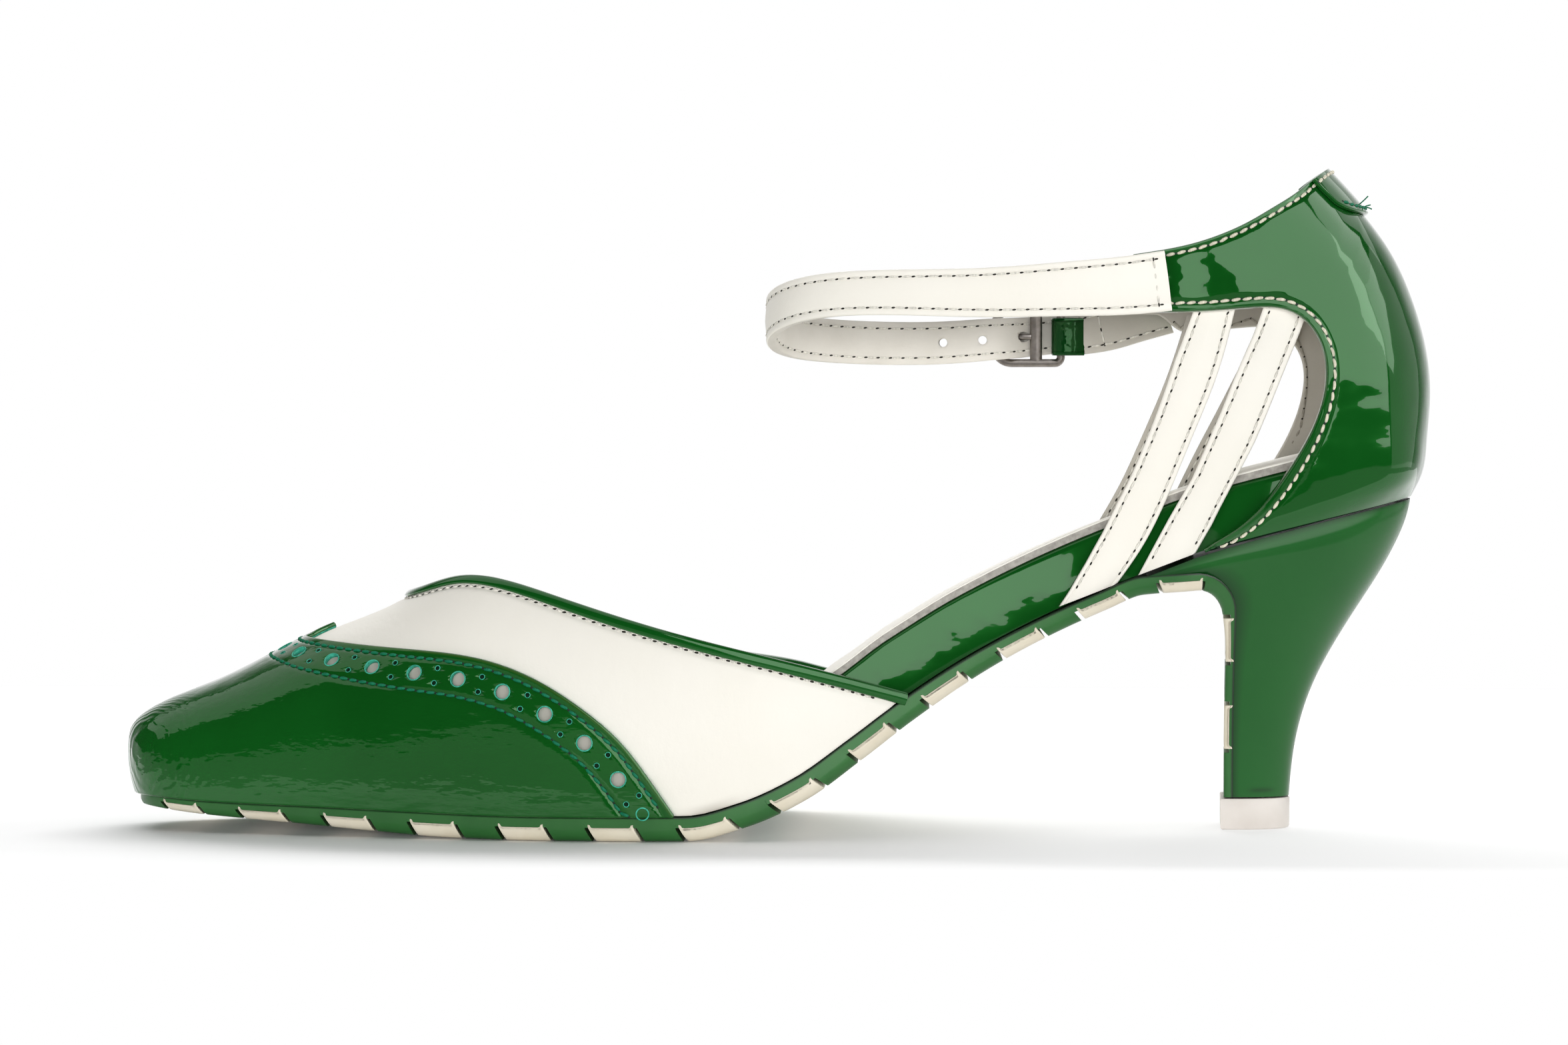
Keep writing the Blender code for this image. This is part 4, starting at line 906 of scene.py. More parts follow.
def make_small_finishes():
    make_finish(
        "hole_edge", (0.01, 0.26, 0.16), 0.5, 0.4, (1500, 2), ((0.01, 0.24, 0.15), (0.06, 0.46, 0.32)), 0.3,
    )
    # Painted shade: near-black in the seam over the heel, dark green in the pin holes, grey at the bottom of
    # the punched holes, dark in the needle holes.
    make_finish("seam_painted_shade", (0.002, 0.012, 0.004), 0.9, 0.05)
    make_finish("pin_floor", (0.004, 0.03, 0.012), 0.7)
    make_finish("hole_floor_painted_shade", (0.40, 0.375, 0.335), 0.7)
    make_finish("needle_hole", (0.018, 0.016, 0.012), 0.8)
    make_finish("needle_hole_green", (0.002, 0.014, 0.006), 0.7)
    for name, color in (
        ("thread_cream", (0.78, 0.73, 0.58)),
        ("thread_teal", (0.001, 0.16, 0.075)),
        ("thread_grey", (0.42, 0.39, 0.33)),
        ("thread_white", (0.80, 0.775, 0.70)),
    ):
        make_finish(name, color, 0.65, 0.3, (2600, 2, (1, 1, 0.4)), ([0.72 * c for c in color], color), 0.35)
    make_finish(
        "gunmetal", (0.30, 0.275, 0.26), 0.34, 0.5, (700, 4), ((0.23, 0.21, 0.195), (0.36, 0.33, 0.31)), 0.3,
        bumps=((noise, (1400, 3), 0.03, 0.4),), Metallic=1.0,
    )


def add_mesh(name, verts, faces, materials, slots=None, tone=None, sharp=42):
    mesh = bpy.data.meshes.new(name)
    mesh.from_pydata((np.asarray(verts) * MM).tolist(), [], [list(face) for face in faces])
    for material in materials:
        mesh.materials.append(MATERIAL[material])
    if slots is not None:
        mesh.polygons.foreach_set("material_index", np.asarray(slots, np.int32))
    if tone is not None:
        layer = mesh.attributes.new("tone", "FLOAT", "POINT")
        layer.data.foreach_set("value", np.asarray(tone, np.float32))
    mesh.validate()
    mesh.shade_smooth()
    mesh.set_sharp_from_angle(angle=math.radians(sharp))
    obj = bpy.data.objects.new(name, mesh)
    bpy.context.scene.collection.objects.link(obj)
    return obj


def place(obj, slot, *nodes):
    """Puts a piece on the shoe, in place of the plain solids it stands for."""
    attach(obj, "root")
    if nodes:
        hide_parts(*nodes)
    return obj


def weld(grids):
    """Vertices and quads of point grids, joined where they meet."""
    verts, faces, start = [], [], 0
    for grid in grids:
        rows, columns = grid.shape[:2]
        index = start + np.arange(rows * columns).reshape(rows, columns)
        corners = (index[:-1, :-1], index[:-1, 1:], index[1:, 1:], index[1:, :-1])
        faces.append(np.stack(corners, axis=-1).reshape(-1, 4))
        verts.append(grid.reshape(-1, 3))
        start += rows * columns
    verts, faces = np.concatenate(verts), np.concatenate(faces)
    _, first, back = np.unique(np.round(verts, 3), axis=0, return_index=True, return_inverse=True)
    return verts[first], back.reshape(-1)[faces]


def vertex_normals(verts, faces):
    a, b, c, d = (verts[faces[:, i]] for i in range(4))
    facing = np.cross(c - a, d - b)
    normal = np.zeros_like(verts)
    for i in range(4):
        np.add.at(normal, faces[:, i], facing)
    return unit(normal + 1e-12)


def add_shell(name, grids, wall, materials, lift=0.0, relief=None, tone=None, rim=0.3):
    """Closed wall behind welded grids: outer skin, rounded rim and inner face, each with its material.

    relief and tone read the grids' points. Returns the piece and the skin for seams to lie on.
    """
    base, faces = weld(grids)
    normal = vertex_normals(base, faces)
    verts = base + lift * normal
    skin = verts if relief is None else verts + normal * relief(base)[:, None]
    inner = verts - normal * wall
    count = len(verts)
    edges = np.concatenate([faces[:, [i, (i + 1) % 4]] for i in range(4)])
    edges = edges[edges[:, 0] != edges[:, 1]]
    key = edges.min(axis=1) * count + edges.max(axis=1)
    _, first, times = np.unique(key, return_index=True, return_counts=True)
    border = edges[first[times == 1]]
    out = np.zeros_like(verts)
    side = np.cross(verts[border[:, 1]] - verts[border[:, 0]], normal[border[:, 0]])
    np.add.at(out, border[:, 0], side)
    np.add.at(out, border[:, 1], side)
    ids = np.unique(border)
    spot = np.zeros(count, int)
    spot[ids] = np.arange(len(ids))
    middle, half = (skin[ids] + inner[ids]) / 2, (skin[ids] - inner[ids]) / 2
    reach = unit(out[ids] + 1e-12) * np.linalg.norm(half, axis=1, keepdims=True) * rim
    points, levels = [skin, inner], [border]
    for step in range(1, RIM_STEPS + 1):
        angle = math.pi * step / (RIM_STEPS + 1)
        points.append(middle + half * math.cos(angle) + reach * math.sin(angle))
        levels.append(2 * count + (step - 1) * len(ids) + spot[border])
    levels.append(count + border)
    strips = [
        np.stack([a[:, 1], a[:, 0], b[:, 0], b[:, 1]], axis=1) for a, b in zip(levels, levels[1:])
    ]
    all_faces = np.concatenate([faces, faces[:, ::-1] + count] + strips)
    slots = np.full(len(all_faces), 1)
    slots[: len(faces)] = 0
    slots[len(faces) : 2 * len(faces)] = 2
    slots[2 * len(faces) + (RIM_STEPS + 1) * 3 // 5 * len(border) :] = 2
    points = np.concatenate(points)
    shade = None
    if tone is not None:
        shade = np.zeros(len(points))
        shade[:count] = tone(base)
    obj = add_mesh(name, points, all_faces, materials, slots, shade)
    return obj, BVHTree.FromPolygons(skin.tolist(), faces.tolist())


def loft_mesh(sections, slots=None, closed=False):
    """Vertices, faces and slots of a solid through loops of points, its faces turned out."""
    sections = np.asarray(sections)
    count, size = sections.shape[:2]
    index = np.arange(count * size).reshape(count, size)
    rows = np.concatenate([index, index[:1]]) if closed else index
    turned = np.roll(rows, -1, axis=1)
    quads = np.stack([rows[:-1], turned[:-1], turned[1:], rows[1:]], axis=-1).reshape(-1, 4)
    verts = sections.reshape(-1, 3)
    a, b, c, d = (verts[quads[:, i]] - verts.mean(axis=0) for i in range(4))
    volume = np.sum(a * np.cross(b, c)) + np.sum(a * np.cross(c, d))
    faces = quads.tolist()
    kinds = list(np.tile(slots, len(rows) - 1)) if slots is not None else [0] * len(faces)
    if not closed:
        faces += [index[0][::-1].tolist(), index[-1].tolist()]
        kinds += [kinds[0], kinds[-1]]
    if volume < 0:
        faces = [face[::-1] for face in faces]
    return verts, faces, kinds


def add_loft(name, sections, materials, slots=None, closed=False, tone=None, sharp=42):
    verts, faces, kinds = loft_mesh(sections, slots, closed)
    return add_mesh(name, verts, faces, materials, kinds, tone, sharp)


def join_parts(parts):
    """One list of vertices, faces and slots from several."""
    verts, faces, kinds, start = [], [], [], 0
    for part_verts, part_faces, part_kinds in parts:
        verts.append(part_verts)
        faces += [[start + i for i in face] for face in part_faces]
        kinds += list(part_kinds)
        start += len(part_verts)
    return np.concatenate(verts), faces, kinds


def read_line(points, at):
    length = arc_length(points)
    return np.stack([np.interp(at, length, values) for values in points.T], axis=1)


def ring(center, first, second, radius, count, flat=1.0):
    """Points round a center in the plane of two directions; flat squeezes them along the second."""
    angle = np.linspace(0, 2 * math.pi, count, endpoint=False)
    return center + radius * (np.outer(np.cos(angle), first) + flat * np.outer(np.sin(angle), second))


def plane(normal):
    """Two directions across a normal."""
    first = unit(np.cross(normal, [0.3, 0.2, 0.9]))
    return first, np.cross(normal, first)


def on_surface(tree, points):
    """Nearest points of a skin and its normals there."""
    found = [tree.find_nearest(Vector(p)) for p in points]
    return np.array([f[0][:] for f in found]), np.array([f[1][:] for f in found])


def edge_distance(verts, *lines):
    """Distance from each point to the nearest of some lines."""
    spots = np.concatenate([read_line(line, np.arange(0, arc_length(line)[-1], 0.25)) for line in lines])
    tree = KDTree(len(spots))
    for i, spot in enumerate(spots):
        tree.insert(spot, i)
    tree.balance()
    return np.array([tree.find(vert)[2] for vert in verts])


def groove(distance, row, depth, width=0.5):
    return -depth * np.exp(-(((distance - row) / width) ** 2))


def sew(
    group, points, normals, thread, hole, radius=0.26, pitch=STITCH_PITCH, skew=0.0, gap=STITCH_GAP, mark=1.0
):
    """Adds a row of stitches along points that lie on a surface, with a dark needle mark, painted shade of
    the needle hole, between each two.
    """
    length = arc_length(points)
    count = max(int(length[-1] / pitch), 1)
    step = length[-1] / count
    places = np.linspace(0, length[-1], count + 1)
    line = np.concatenate([points, normals], axis=1)
    line = np.stack([np.interp(places, length, values) for values in line.T], axis=1)
    at, facing = line[:, :3], line[:, 3:]
    row = THREADS.setdefault(group, {"thread": thread, "hole": hole, "stitches": [], "needle_holes": []})
    for start, end, start_normal, end_normal in zip(at, at[1:], facing, facing[1:]):
        normal = unit(start_normal + end_normal)
        along = unit(end - start)
        half = (step - gap) / 2 * RANDOM.uniform(0.92, 1.04)
        lean = skew + RANDOM.normal(0, 0.03)
        run = along * math.cos(lean) + np.cross(normal, along) * math.sin(lean)
        sections = []
        for share in STITCH_SHARES:
            thick = radius * (0.45 + 0.55 * math.sqrt(1 - share * share))
            lifted = normal * radius * (0.75 * (1 - share * share) - 0.25)
            center = (start + end) / 2 + run * half * share + lifted
            sections.append(ring(center, np.cross(normal, run), normal, thick, 6, 0.8))
        row["stitches"].append(loft_mesh(sections))
    near = at[1] - at[0]
    faces = [(i, (i + 1) % MARK_SIDES, MARK_SIDES) for i in range(MARK_SIDES)]
    for spot, normal in zip(at, unit(facing)):
        along = unit(near - normal * np.dot(near, normal))
        center = spot + normal * MARK_RISE
        rim = ring(center, mark * along, np.cross(normal, along), radius, MARK_SIDES, 0.8)
        verts = np.append(rim, [center + normal * MARK_DOME], axis=0)
        row["needle_holes"].append((verts, faces, [0] * MARK_SIDES))


def make_threads():
    for group, row in THREADS.items():
        for kind, material in (("stitches", row["thread"]), ("needle_holes", row["hole"])):
            verts, faces, kinds = join_parts(row[kind])
            place(add_mesh(f"{group}_{kind}", verts, faces, [material], kinds, sharp=80), None)


def cut_away(obj, cutter, lined=True):
    """Takes a cutter's form out of a piece; the cut has the cutter's material where it is lined."""
    modifier = obj.modifiers.new("cut", "BOOLEAN")
    modifier.operation = "DIFFERENCE"
    modifier.object = cutter
    modifier.material_mode = "TRANSFER" if lined else "INDEX"
    graph = bpy.context.evaluated_depsgraph_get()
    mesh = bpy.data.meshes.new_from_object(obj.evaluated_get(graph))
    obj.modifiers.clear()
    obj.data = mesh
    bpy.data.objects.remove(cutter)


def punch(obj, centers, normals, radius, low, high, material, sides):
    """Cuts round holes, from a height over the surface down to a depth, lined with a material."""
    parts = []
    for center, normal in zip(centers, normals):
        rim = ring(center, *plane(normal), radius, sides)
        parts.append(loft_mesh([rim + normal * low, rim + normal * high]))
    verts, faces, kinds = join_parts(parts)
    cut_away(obj, add_mesh("cutter", verts, faces, [material], kinds))


# Vamp, toe cap and binding


def vamp_rows(girth, ends, coarse, fine, reach):
    """Points of the vamp from nose to edge, with close columns in the last stretch before the edge."""
    length = (ends - TIP_X)[:, None]
    knee = np.maximum(1 - reach / length, 0.4)
    near = np.linspace(0, 1, coarse, endpoint=False)[None, :] ** 1.5
    share = np.concatenate([knee * near, knee + (1 - knee) * np.linspace(0, 1, fine)[None, :]], axis=1)
    x = TIP_X + length * share
    return vamp_point(x, np.broadcast_to(girth[:, None], x.shape))


def row_inside(line, inner_line, skin, offset):
    """Row on a skin at a distance in from an edge: points and normals."""
    along = unit(np.gradient(line, axis=0))
    inward = inner_line - line
    inward = unit(inward - along * np.sum(inward * along, axis=1, keepdims=True))
    return on_surface(skin, line + inward * offset)


def make_vamp():
    girth = girth_stations(70)
    ends = edge_along(girth, TOPLINE, dip=True)
    edge = vamp_point(ends, girth)

    def under_cap(verts):
        x, _, z = verts.T
        return (z < read(WING, x, "z") - CAP_COVER) & (x < WING[-1].x)

    def relief(verts):
        distance = edge_distance(verts, edge)
        face = np.where(under_cap(verts), -VAMP_SINK, VAMP_LIFT)
        return face + groove(distance, BINDING_ROW, *BINDING_GROOVE)

    def tone(verts):
        x, _, z = verts.T
        height = z - bed(x)
        scuff = np.exp(-(((x - SCUFF_X) / SCUFF_REACH) ** 2)) * smoothstep((2.4 - height) / 1.8)
        # Darker along the sole: painted shade of the crease there. The scuff is wear.
        sole_crease_shade = 0.3 * smoothstep((0.9 - height) / 0.7)
        # Under the toe cap the leather is darkened: painted shade, as it shows in the cap's holes.
        return np.where(under_cap(verts), 0.3, sole_crease_shade + 0.5 * scuff)

    # The vamp takes the darker copy of the white leather: painted shade.
    materials = ["vamp_leather_painted_shade", "vamp_leather_painted_shade", "strap_lining"]
    grid = vamp_rows(girth, ends, 80, 30, 7)
    obj, skin = add_shell("vamp_leather_painted_shade", [grid], VAMP_WALL, materials, relief=relief, tone=tone, rim=0.1)
    place(obj, "white_leather", "vamp")
    inside = (girth > 0.03) & (girth < 0.97)
    line, inner = edge[inside], vamp_point(ends[inside] - 1, girth[inside])
    points, normals = row_inside(line, inner, skin, BINDING_ROW)
    sew("binding", points, normals, "thread_white", "needle_hole", radius=0.27, pitch=2.0, gap=0.9, mark=1.6)


def hole_ring(center, normal, radius, thick):
    """Raised, raw rim of a punched hole."""
    rim = ring(np.zeros(3), *plane(normal), 1.0, 24)
    return loft_mesh([ring(center + out * radius, out, normal, thick, 6, 0.7) for out in rim], closed=True)


def hole_floor_painted_shade(center, normal, radius, depth):
    """Grey disc at the bottom of a punched hole: painted shade of the leather there."""
    rim = ring(center - normal * depth, *plane(normal), radius, 24)
    return rim, [range(len(rim))], [1]


def cap_holes(middle, skin):
    """Places and normals of the cap's holes, of the pin holes, and of a covered hole at each end."""
    length = arc_length(middle)
    top = length[np.argmax(middle[:, 2])]
    first = np.arange(HOLE_START, top - HOLE_CLEAR, HOLE_PITCH)
    second = length[-1] - np.arange(HOLE_START, length[-1] - top - HOLE_CLEAR, HOLE_PITCH)
    half = HOLE_PITCH / 2
    between = np.concatenate([first[:1] - half, first + half, second - half, second[:1] + half])
    between = between[np.abs(between - top) > PIN_CLEAR]
    spots, ahead = read_line(middle, between), read_line(middle, between + 0.5)
    _, facing = on_surface(skin, spots)
    across = unit(np.cross(facing, ahead - spots)) * PIN_OFFSET
    holes = on_surface(skin, read_line(middle, np.concatenate([first, second])))
    pins = on_surface(skin, np.concatenate([spots + across, spots - across]))
    return holes, pins, on_surface(skin, read_line(middle, np.array([0.5, length[-1] - 0.5])))


def make_toe_cap():
    point = 0.5 + np.linspace(-1, 1, 13) * WING_POINT_SHARE
    girth = np.unique(np.concatenate([girth_stations(95), point]))
    ends, plain = wing_ends(girth), edge_along(girth, WING)
    edge, plain_edge = vamp_point(ends, girth), vamp_point(plain, girth)

    def relief(verts):
        distance = edge_distance(verts, plain_edge)
        rows = (CAP_EDGE_ROW, CAP_INNER_ROW)
        return sum(groove(distance, row, *CAP_GROOVE) for row in rows)

    def tone(verts):
        return 0.55 * smoothstep((0.45 - edge_distance(verts, edge)) / 0.35)

    materials = ["toe_patent", "toe_patent", "patent_green"]
    grid = vamp_rows(girth, ends, 120, 44, 10)
    obj, skin = add_shell("toe_cap_patent", [grid], CAP_SKIN, materials, CAP_LIFT, relief, tone, rim=0.55)
    inside = (girth > 0.01) & (girth < 0.99)
    line, inner = plain_edge[inside], vamp_point(plain[inside] - 1, girth[inside])
    for offset in (CAP_EDGE_ROW, CAP_INNER_ROW):
        seam = row_inside(line, inner, skin, offset)
        sew("toe_cap", *seam, "thread_teal", "needle_hole_green", radius=0.32, skew=0.12)
    holes, pins, covered = cap_holes(row_inside(line, inner, skin, CAP_HOLE_ROW)[0], skin)
    punch(obj, *holes, HOLE_RADIUS, -CAP_SKIN - 0.6, 1.0, "hole_edge", 28)
    # The pin holes' floors are dark green: painted shade.
    punch(obj, *pins, PIN_RADIUS, -PIN_DEPTH, 1.0, "pin_floor", 14)
    place(obj, "green_patent", "toe_cap")
    parts = [hole_ring(*spot, HOLE_RADIUS, HOLE_RIM) for spot in zip(*holes)]
    parts += [hole_ring(*spot, 0.8 * HOLE_RADIUS, HOLE_RIM) for spot in zip(*covered)]
    parts += [hole_ring(*spot, PIN_RADIUS, PIN_RIM) for spot in zip(*pins)]
    # Each punched hole gets a grey floor disc: painted shade.
    parts += [hole_floor_painted_shade(*spot, HOLE_RADIUS, HOLE_DEPTH) for spot in zip(*holes)]
    verts, faces, kinds = join_parts(parts)
    place(add_mesh("toe_cap_hole_rings", verts, faces, ["hole_edge", "hole_floor_painted_shade"], kinds, sharp=80), None)


def make_binding():
    """Rolled strip over the top edge of the vamp."""
    girth = girth_stations(90)
    ends = edge_along(girth, TOPLINE, dip=True)
    edge = vamp_point(ends, girth)
    along = unit(np.gradient(edge, axis=0))
    normal = unit(np.cross(along, vamp_point(ends - 1.0, girth) - edge))
    inward = np.cross(normal, along)
    face, back = VAMP_LIFT + BINDING_FIT, -VAMP_WALL - BINDING_FIT
    profile = [(down, face + BINDING_LEAF * out) for down, out in BINDING_HALF]
    profile += [(-BINDING_LEAF, share * back) for share in (0.12, 0.5, 0.88)]
    profile += [(down, back - BINDING_LEAF * out) for down, out in BINDING_HALF[::-1]]
    profile += [(-0.2, back), (-0.2, face)]
    sections = []
    for e, i, n in zip(edge, inward, normal):
        sections.append(np.array([e + i * down + n * out for down, out in profile]))
    strip = add_loft("vamp_binding_strip", sections, ["patent_green"], sharp=60)
    place(strip, "green_patent", "vamp_binding")


# Counter and back tab


def counter_rows(side, counts, share):
    """One half of the counter, from the cut-out's edge to the seat, back and collar."""
    lower, back, upper = counts
    seat_turn, seat_z = seat_edge(lower + 1)
    collar_x, collar_z = even_points(COLLAR, upper + 1).T
    collar_turn = cup_turn(collar_x, collar_z)
    collar_turn[0] = 0
    spine_z = np.linspace(seat_z[-1], collar_z[0], back + 1)
    outer_turn = np.concatenate([seat_turn, np.zeros(back - 1), collar_turn])
    outer_z = np.concatenate([seat_z, spine_z[1:-1], collar_z])
    inner_x, inner_z = even_points(CUTOUT, lower + back + upper + 1).T
    if side > 0:
        share_in = smoothstep((TAPER_START_X - inner_x) / TAPER_LENGTH) * (inner_z > TAPER_LOW_Z)
        inner_z = inner_z + LATERAL_BAND_TAPER * share_in
    inner_turn = cup_turn(inner_x, inner_z)
    turn = inner_turn[:, None] + (outer_turn - inner_turn)[:, None] * share
    z = inner_z[:, None] + (outer_z - inner_z)[:, None] * share
    return cup_point(turn, lowered(turn, z, side), side)


def band_ripples(verts):
    """Ripples in the patent where the band is pulled by the ankle strap: each rises, then eases off."""
    x, _, z = verts.T
    wander = x + 0.45 * np.sin(1.3 * z) + 0.3 * np.sin(3.1 * z + 1) + 0.2 * np.sin(1.9 * x)
    height = np.zeros(len(verts))
    for r in RIPPLES:
        top = np.maximum(r.top + r.lean * (r.z - z), r.start + 0.8)
        begin = r.start - 1.4 * r.lean * smoothstep((104 - z) / 2)
        rise = smoothstep((wander - begin) / (top - begin)) * smoothstep((top + r.fall - wander) / r.fall)
        height += r.slope * (top - begin) * rise * np.exp(-(((z - r.z) / r.reach) ** 4))
    return height


def wall_fill(verts):
    """Keeps the sides of the counter upright down to a roll just over the heel."""
    x, y, z = verts.T
    height = np.clip(z - bed(x) - GAP, 0, WALL_FILL[-1].height)
    return read(WALL_FILL, height, "out") * smoothstep((np.abs(y) - 8) / 12)


def make_counter():
    counts = (48, 40, 52)
    share = (0.5 - 0.5 * np.cos(np.linspace(0, math.pi, 52)))[None, :]
    medial, lateral = counter_rows(-1, counts, share), counter_rows(1, counts, share)[::-1]
    top = counts[0] + counts[1]

    def relief(verts):
        cutout = edge_distance(verts, medial[:, 0], lateral[:, 0])
        collar = edge_distance(verts, medial[top:, -1], lateral[::-1][top:, -1])
        seams = groove(cutout, CUTOUT_ROW, *CUTOUT_GROOVE) + groove(collar, COLLAR_ROW, *COLLAR_GROOVE)
        bead = CUTOUT_BEAD * np.exp(-(((cutout - 0.6) / 0.6) ** 2))
        return seams + bead + band_ripples(verts) + wall_fill(verts)

    materials = ["patent_green", "patent_green", "lining", "seam_painted_shade"]
    obj, skin = add_shell("counter_patent", [medial, lateral], COUNTER_WALL, materials, relief=relief)
    # Lower-edge faces that look down take the near-black material: painted shade in the seam over the heel.
    for face in obj.data.polygons:
        if face.center.z / MM < bed(face.center.x / MM) + SEAT_LIP:
            face.material_index = 3 if face.normal.z < LOOKS_DOWN else 0
    place(obj, "green_patent", "counter")
    for grid in (medial, lateral[::-1]):
        collar = grid[top + 2 :]
        rows = ((grid[:, 0], grid[:, 8], CUTOUT_ROW), (collar[:, -1], collar[:, -9], COLLAR_ROW))
        for line, inner, offset in rows:
            points, normals = row_inside(line, inner, skin, offset)
            sew("counter", points[:-2], normals[:-2], "thread_cream", "needle_hole_green", **CREAM_STITCH)
            x, _, z = points.T
            inside = (x > LINING_FRONT_X) & ((z > LINING_BAND_Z) | (x > LINING_BACK_X))
            back = (points - normals * (COUNTER_WALL - 0.05))[inside]
            sew("counter_lining", back, -normals[inside], "thread_grey", "needle_hole", radius=0.24)


def tube(points, radius, sides, hint=(0, 1, 0), closed=False, flat=1.0):
    """Loops of a bar along points; the hint lies across them, and flat squeezes the bar along it."""
    points = np.array(points, float)
    around = np.roll(points, -1, axis=0) - np.roll(points, 1, axis=0)
    along = unit(around if closed else np.gradient(points, axis=0))
    first = unit(np.cross(along, hint))
    return [ring(p, a, b, radius, sides, flat) for p, a, b in zip(points, first, np.cross(along, first))]


def make_back_tab():
    share = np.linspace(-1, 1, 61)
    turn = share * TAB_TURN
    collar_x, collar_z = even_points(COLLAR, 80).T
    top = np.interp(np.abs(turn), cup_turn(collar_x, collar_z), collar_z) - 0.1
    low = TAB_LOW_Z + TAB_CORNER * (1 - (1 - np.abs(share) ** 4) ** 0.25)
    z = low + (top - low) * np.linspace(0, 1, 24)[:, None]
    wide = np.broadcast_to(turn, z.shape)
    grid = cup_point(np.abs(wide), z, np.where(wide < 0, -1.0, 1.0))
    materials = ["patent_green"] * 3
    obj, skin = add_shell("back_tab_patent", [grid], TAB_WALL + 0.2, materials, lift=GAP + TAB_WALL)
    place(obj, "green_patent", "back_tab")
    points, normals = row_inside(grid[0, 3:-3], grid[5, 3:-3], skin, 0.9)
    sew("back_tab", points, normals, "thread_teal", "needle_hole_green", radius=0.3, pitch=1.7, skew=0.2)
    points, normals = row_inside(grid[-1], grid[-6], skin, COLLAR_ROW)
    sew("back_tab_collar", points, normals, "thread_cream", "needle_hole_green", **CREAM_STITCH)
    for y, z, rise in TAB_THREADS:
        start = on_surface(skin, [(TAB_THREAD_X, y, z)])[0][0]
        path = even_points([start, start + (0.6, 0.2, 0.1 + 0.3 * rise), start + (1.5, 0.5, rise)], 9)
        loose_end = loft_mesh(tube(path, TAB_THREAD_RADIUS, 5, (0.2, 0.9, 0.3)))
        THREADS["back_tab"]["stitches"].append(loose_end)


# Straps


def strap_profile(width, thickness, row, dip):
    """Loop across a sewn strap, out along its normal: dips under the stitches, soft edges, a low crown."""
    half, soft = width / 2, STRAP_SOFT
    edge = [0.0, 0.06, 0.2, 0.45, 0.8, row - 0.25, row, row + 0.25, row + 0.6]
    rest = half - edge[-1]
    edge = np.array(edge + [edge[-1] + rest * share for share in (0.4, 0.75, 1.0)])
    round_edge = soft * (1 - np.sqrt(np.clip(1 - (1 - edge / soft) ** 2, 0, 1))) * (edge < soft)
    seam = groove(edge, row, dip, STRAP_GROOVE)
    crown_rise = STRAP_CROWN * smoothstep((edge - row) / max(half - row, 0.1))
    height = thickness / 2 - 0.7 * round_edge + seam + crown_rise
    under = -thickness / 2 + 0.5 * round_edge - 0.6 * seam
    u = half - edge
    loop = list(zip(u, height)) + list(zip(-u[-2::-1], height[-2::-1]))
    loop += list(zip(-u, under)) + list(zip(u[-2::-1], under[-2::-1]))
    top_count = 2 * len(u) - 1
    slots = np.concatenate([np.zeros(top_count - 1), [1], np.ones(top_count - 1), [1]]).astype(int)
    return loop, slots


def add_strap(name, points, across, normals, widths, thickness, row, materials, dip=0.16):
    sections, slots = [], None
    for p, a, n, width in zip(points, across, normals, widths):
        loop, slots = strap_profile(width, thickness, row, dip)
        sections.append(np.array([p + a * u + n * w for u, w in loop]))
    return add_loft(name, sections, materials, slots)


def strap_seams(group, points, across, normals, widths, thickness, row, kept):
    """Stitches along both edges of a strap, on its face and on its back."""
    for side in (-1, 1):
        for face, thread, sunk in ((1, "thread_white", 0.1), (-1, "thread_grey", 0.05)):
            out = normals * face
            line = points + across * (side * (widths / 2 - row))[:, None] + out * (thickness / 2 - sunk)
            sew(group, line[kept], out[kept], thread, "needle_hole", pitch=2.5, **STRAP_STITCH)


def cross_seam(group, points, across, normals, widths, thickness, row, end, face, thread, rise):
    """Stitches across a strap near its end."""
    u = np.linspace(-1, 1, 12)[:, None] * (widths[end] / 2 - row)
    out = face * normals[end]
    line = points[end] + across[end] * u + out * (thickness / 2 + rise)
    sew(group, line, np.tile(out, (12, 1)), thread, "needle_hole", **STRAP_STITCH)


def ribbon_frame(points, normals):
    along = unit(np.gradient(points, axis=0))
    normals = unit(normals - along * np.sum(normals * along, axis=1, keepdims=True))
    return np.cross(along, normals), normals


def side_strap_edge(side, spot, columns, count):
    """One edge of a side strap, from its foot on the footbed to its head inside the band."""
    rows = SIDE_STRAPS[spot]
    x, z = even_points([row[columns] for row in rows], count).T
    rise = np.linspace(0, 1, count)
    if side > 0:
        x = x + LATERAL_STRAP_SHIFT[spot]
        z = z - LATERAL_DROP * smoothstep((z - STRAP_DROP_LOW_Z) / 30)
    else:
        x = x + np.interp(rise, *STRAP_FLARE[spot, columns.start])
    share = smoothstep(rise)
    y = strap_foot(rows[0][columns.start], side) * (1 - share) + strap_head(rows[-1], side) * share
    return np.stack([x, y, np.maximum(z, bed(x) + GAP)], axis=1)


def make_side_straps():
    for side, word in ((-1, "medial"), (1, "lateral")):
        for spot in SIDE_STRAPS:
            front, rear = (side_strap_edge(side, spot, columns, 70) for columns in (slice(0, 2), slice(2, 4)))
            middle, across = (front + rear) / 2, unit(rear - front)
            normals = unit(np.cross(np.gradient(middle, axis=0), across))
            normals *= np.sign(normals[:, 1:2]) * side
            widths = np.linalg.norm(rear - front, axis=1)
            strip = (middle, across, normals, widths, SIDE_STRAP_THICKNESS, SIDE_STRAP_ROW)
            name = f"side_strap_{word}_{spot}"
            strap = add_strap(name + "_leather", *strip, ["white_leather", "lining"])
            place(strap, "white_leather", name)
            strap_seams("side_strap", *strip, slice(4, -4))


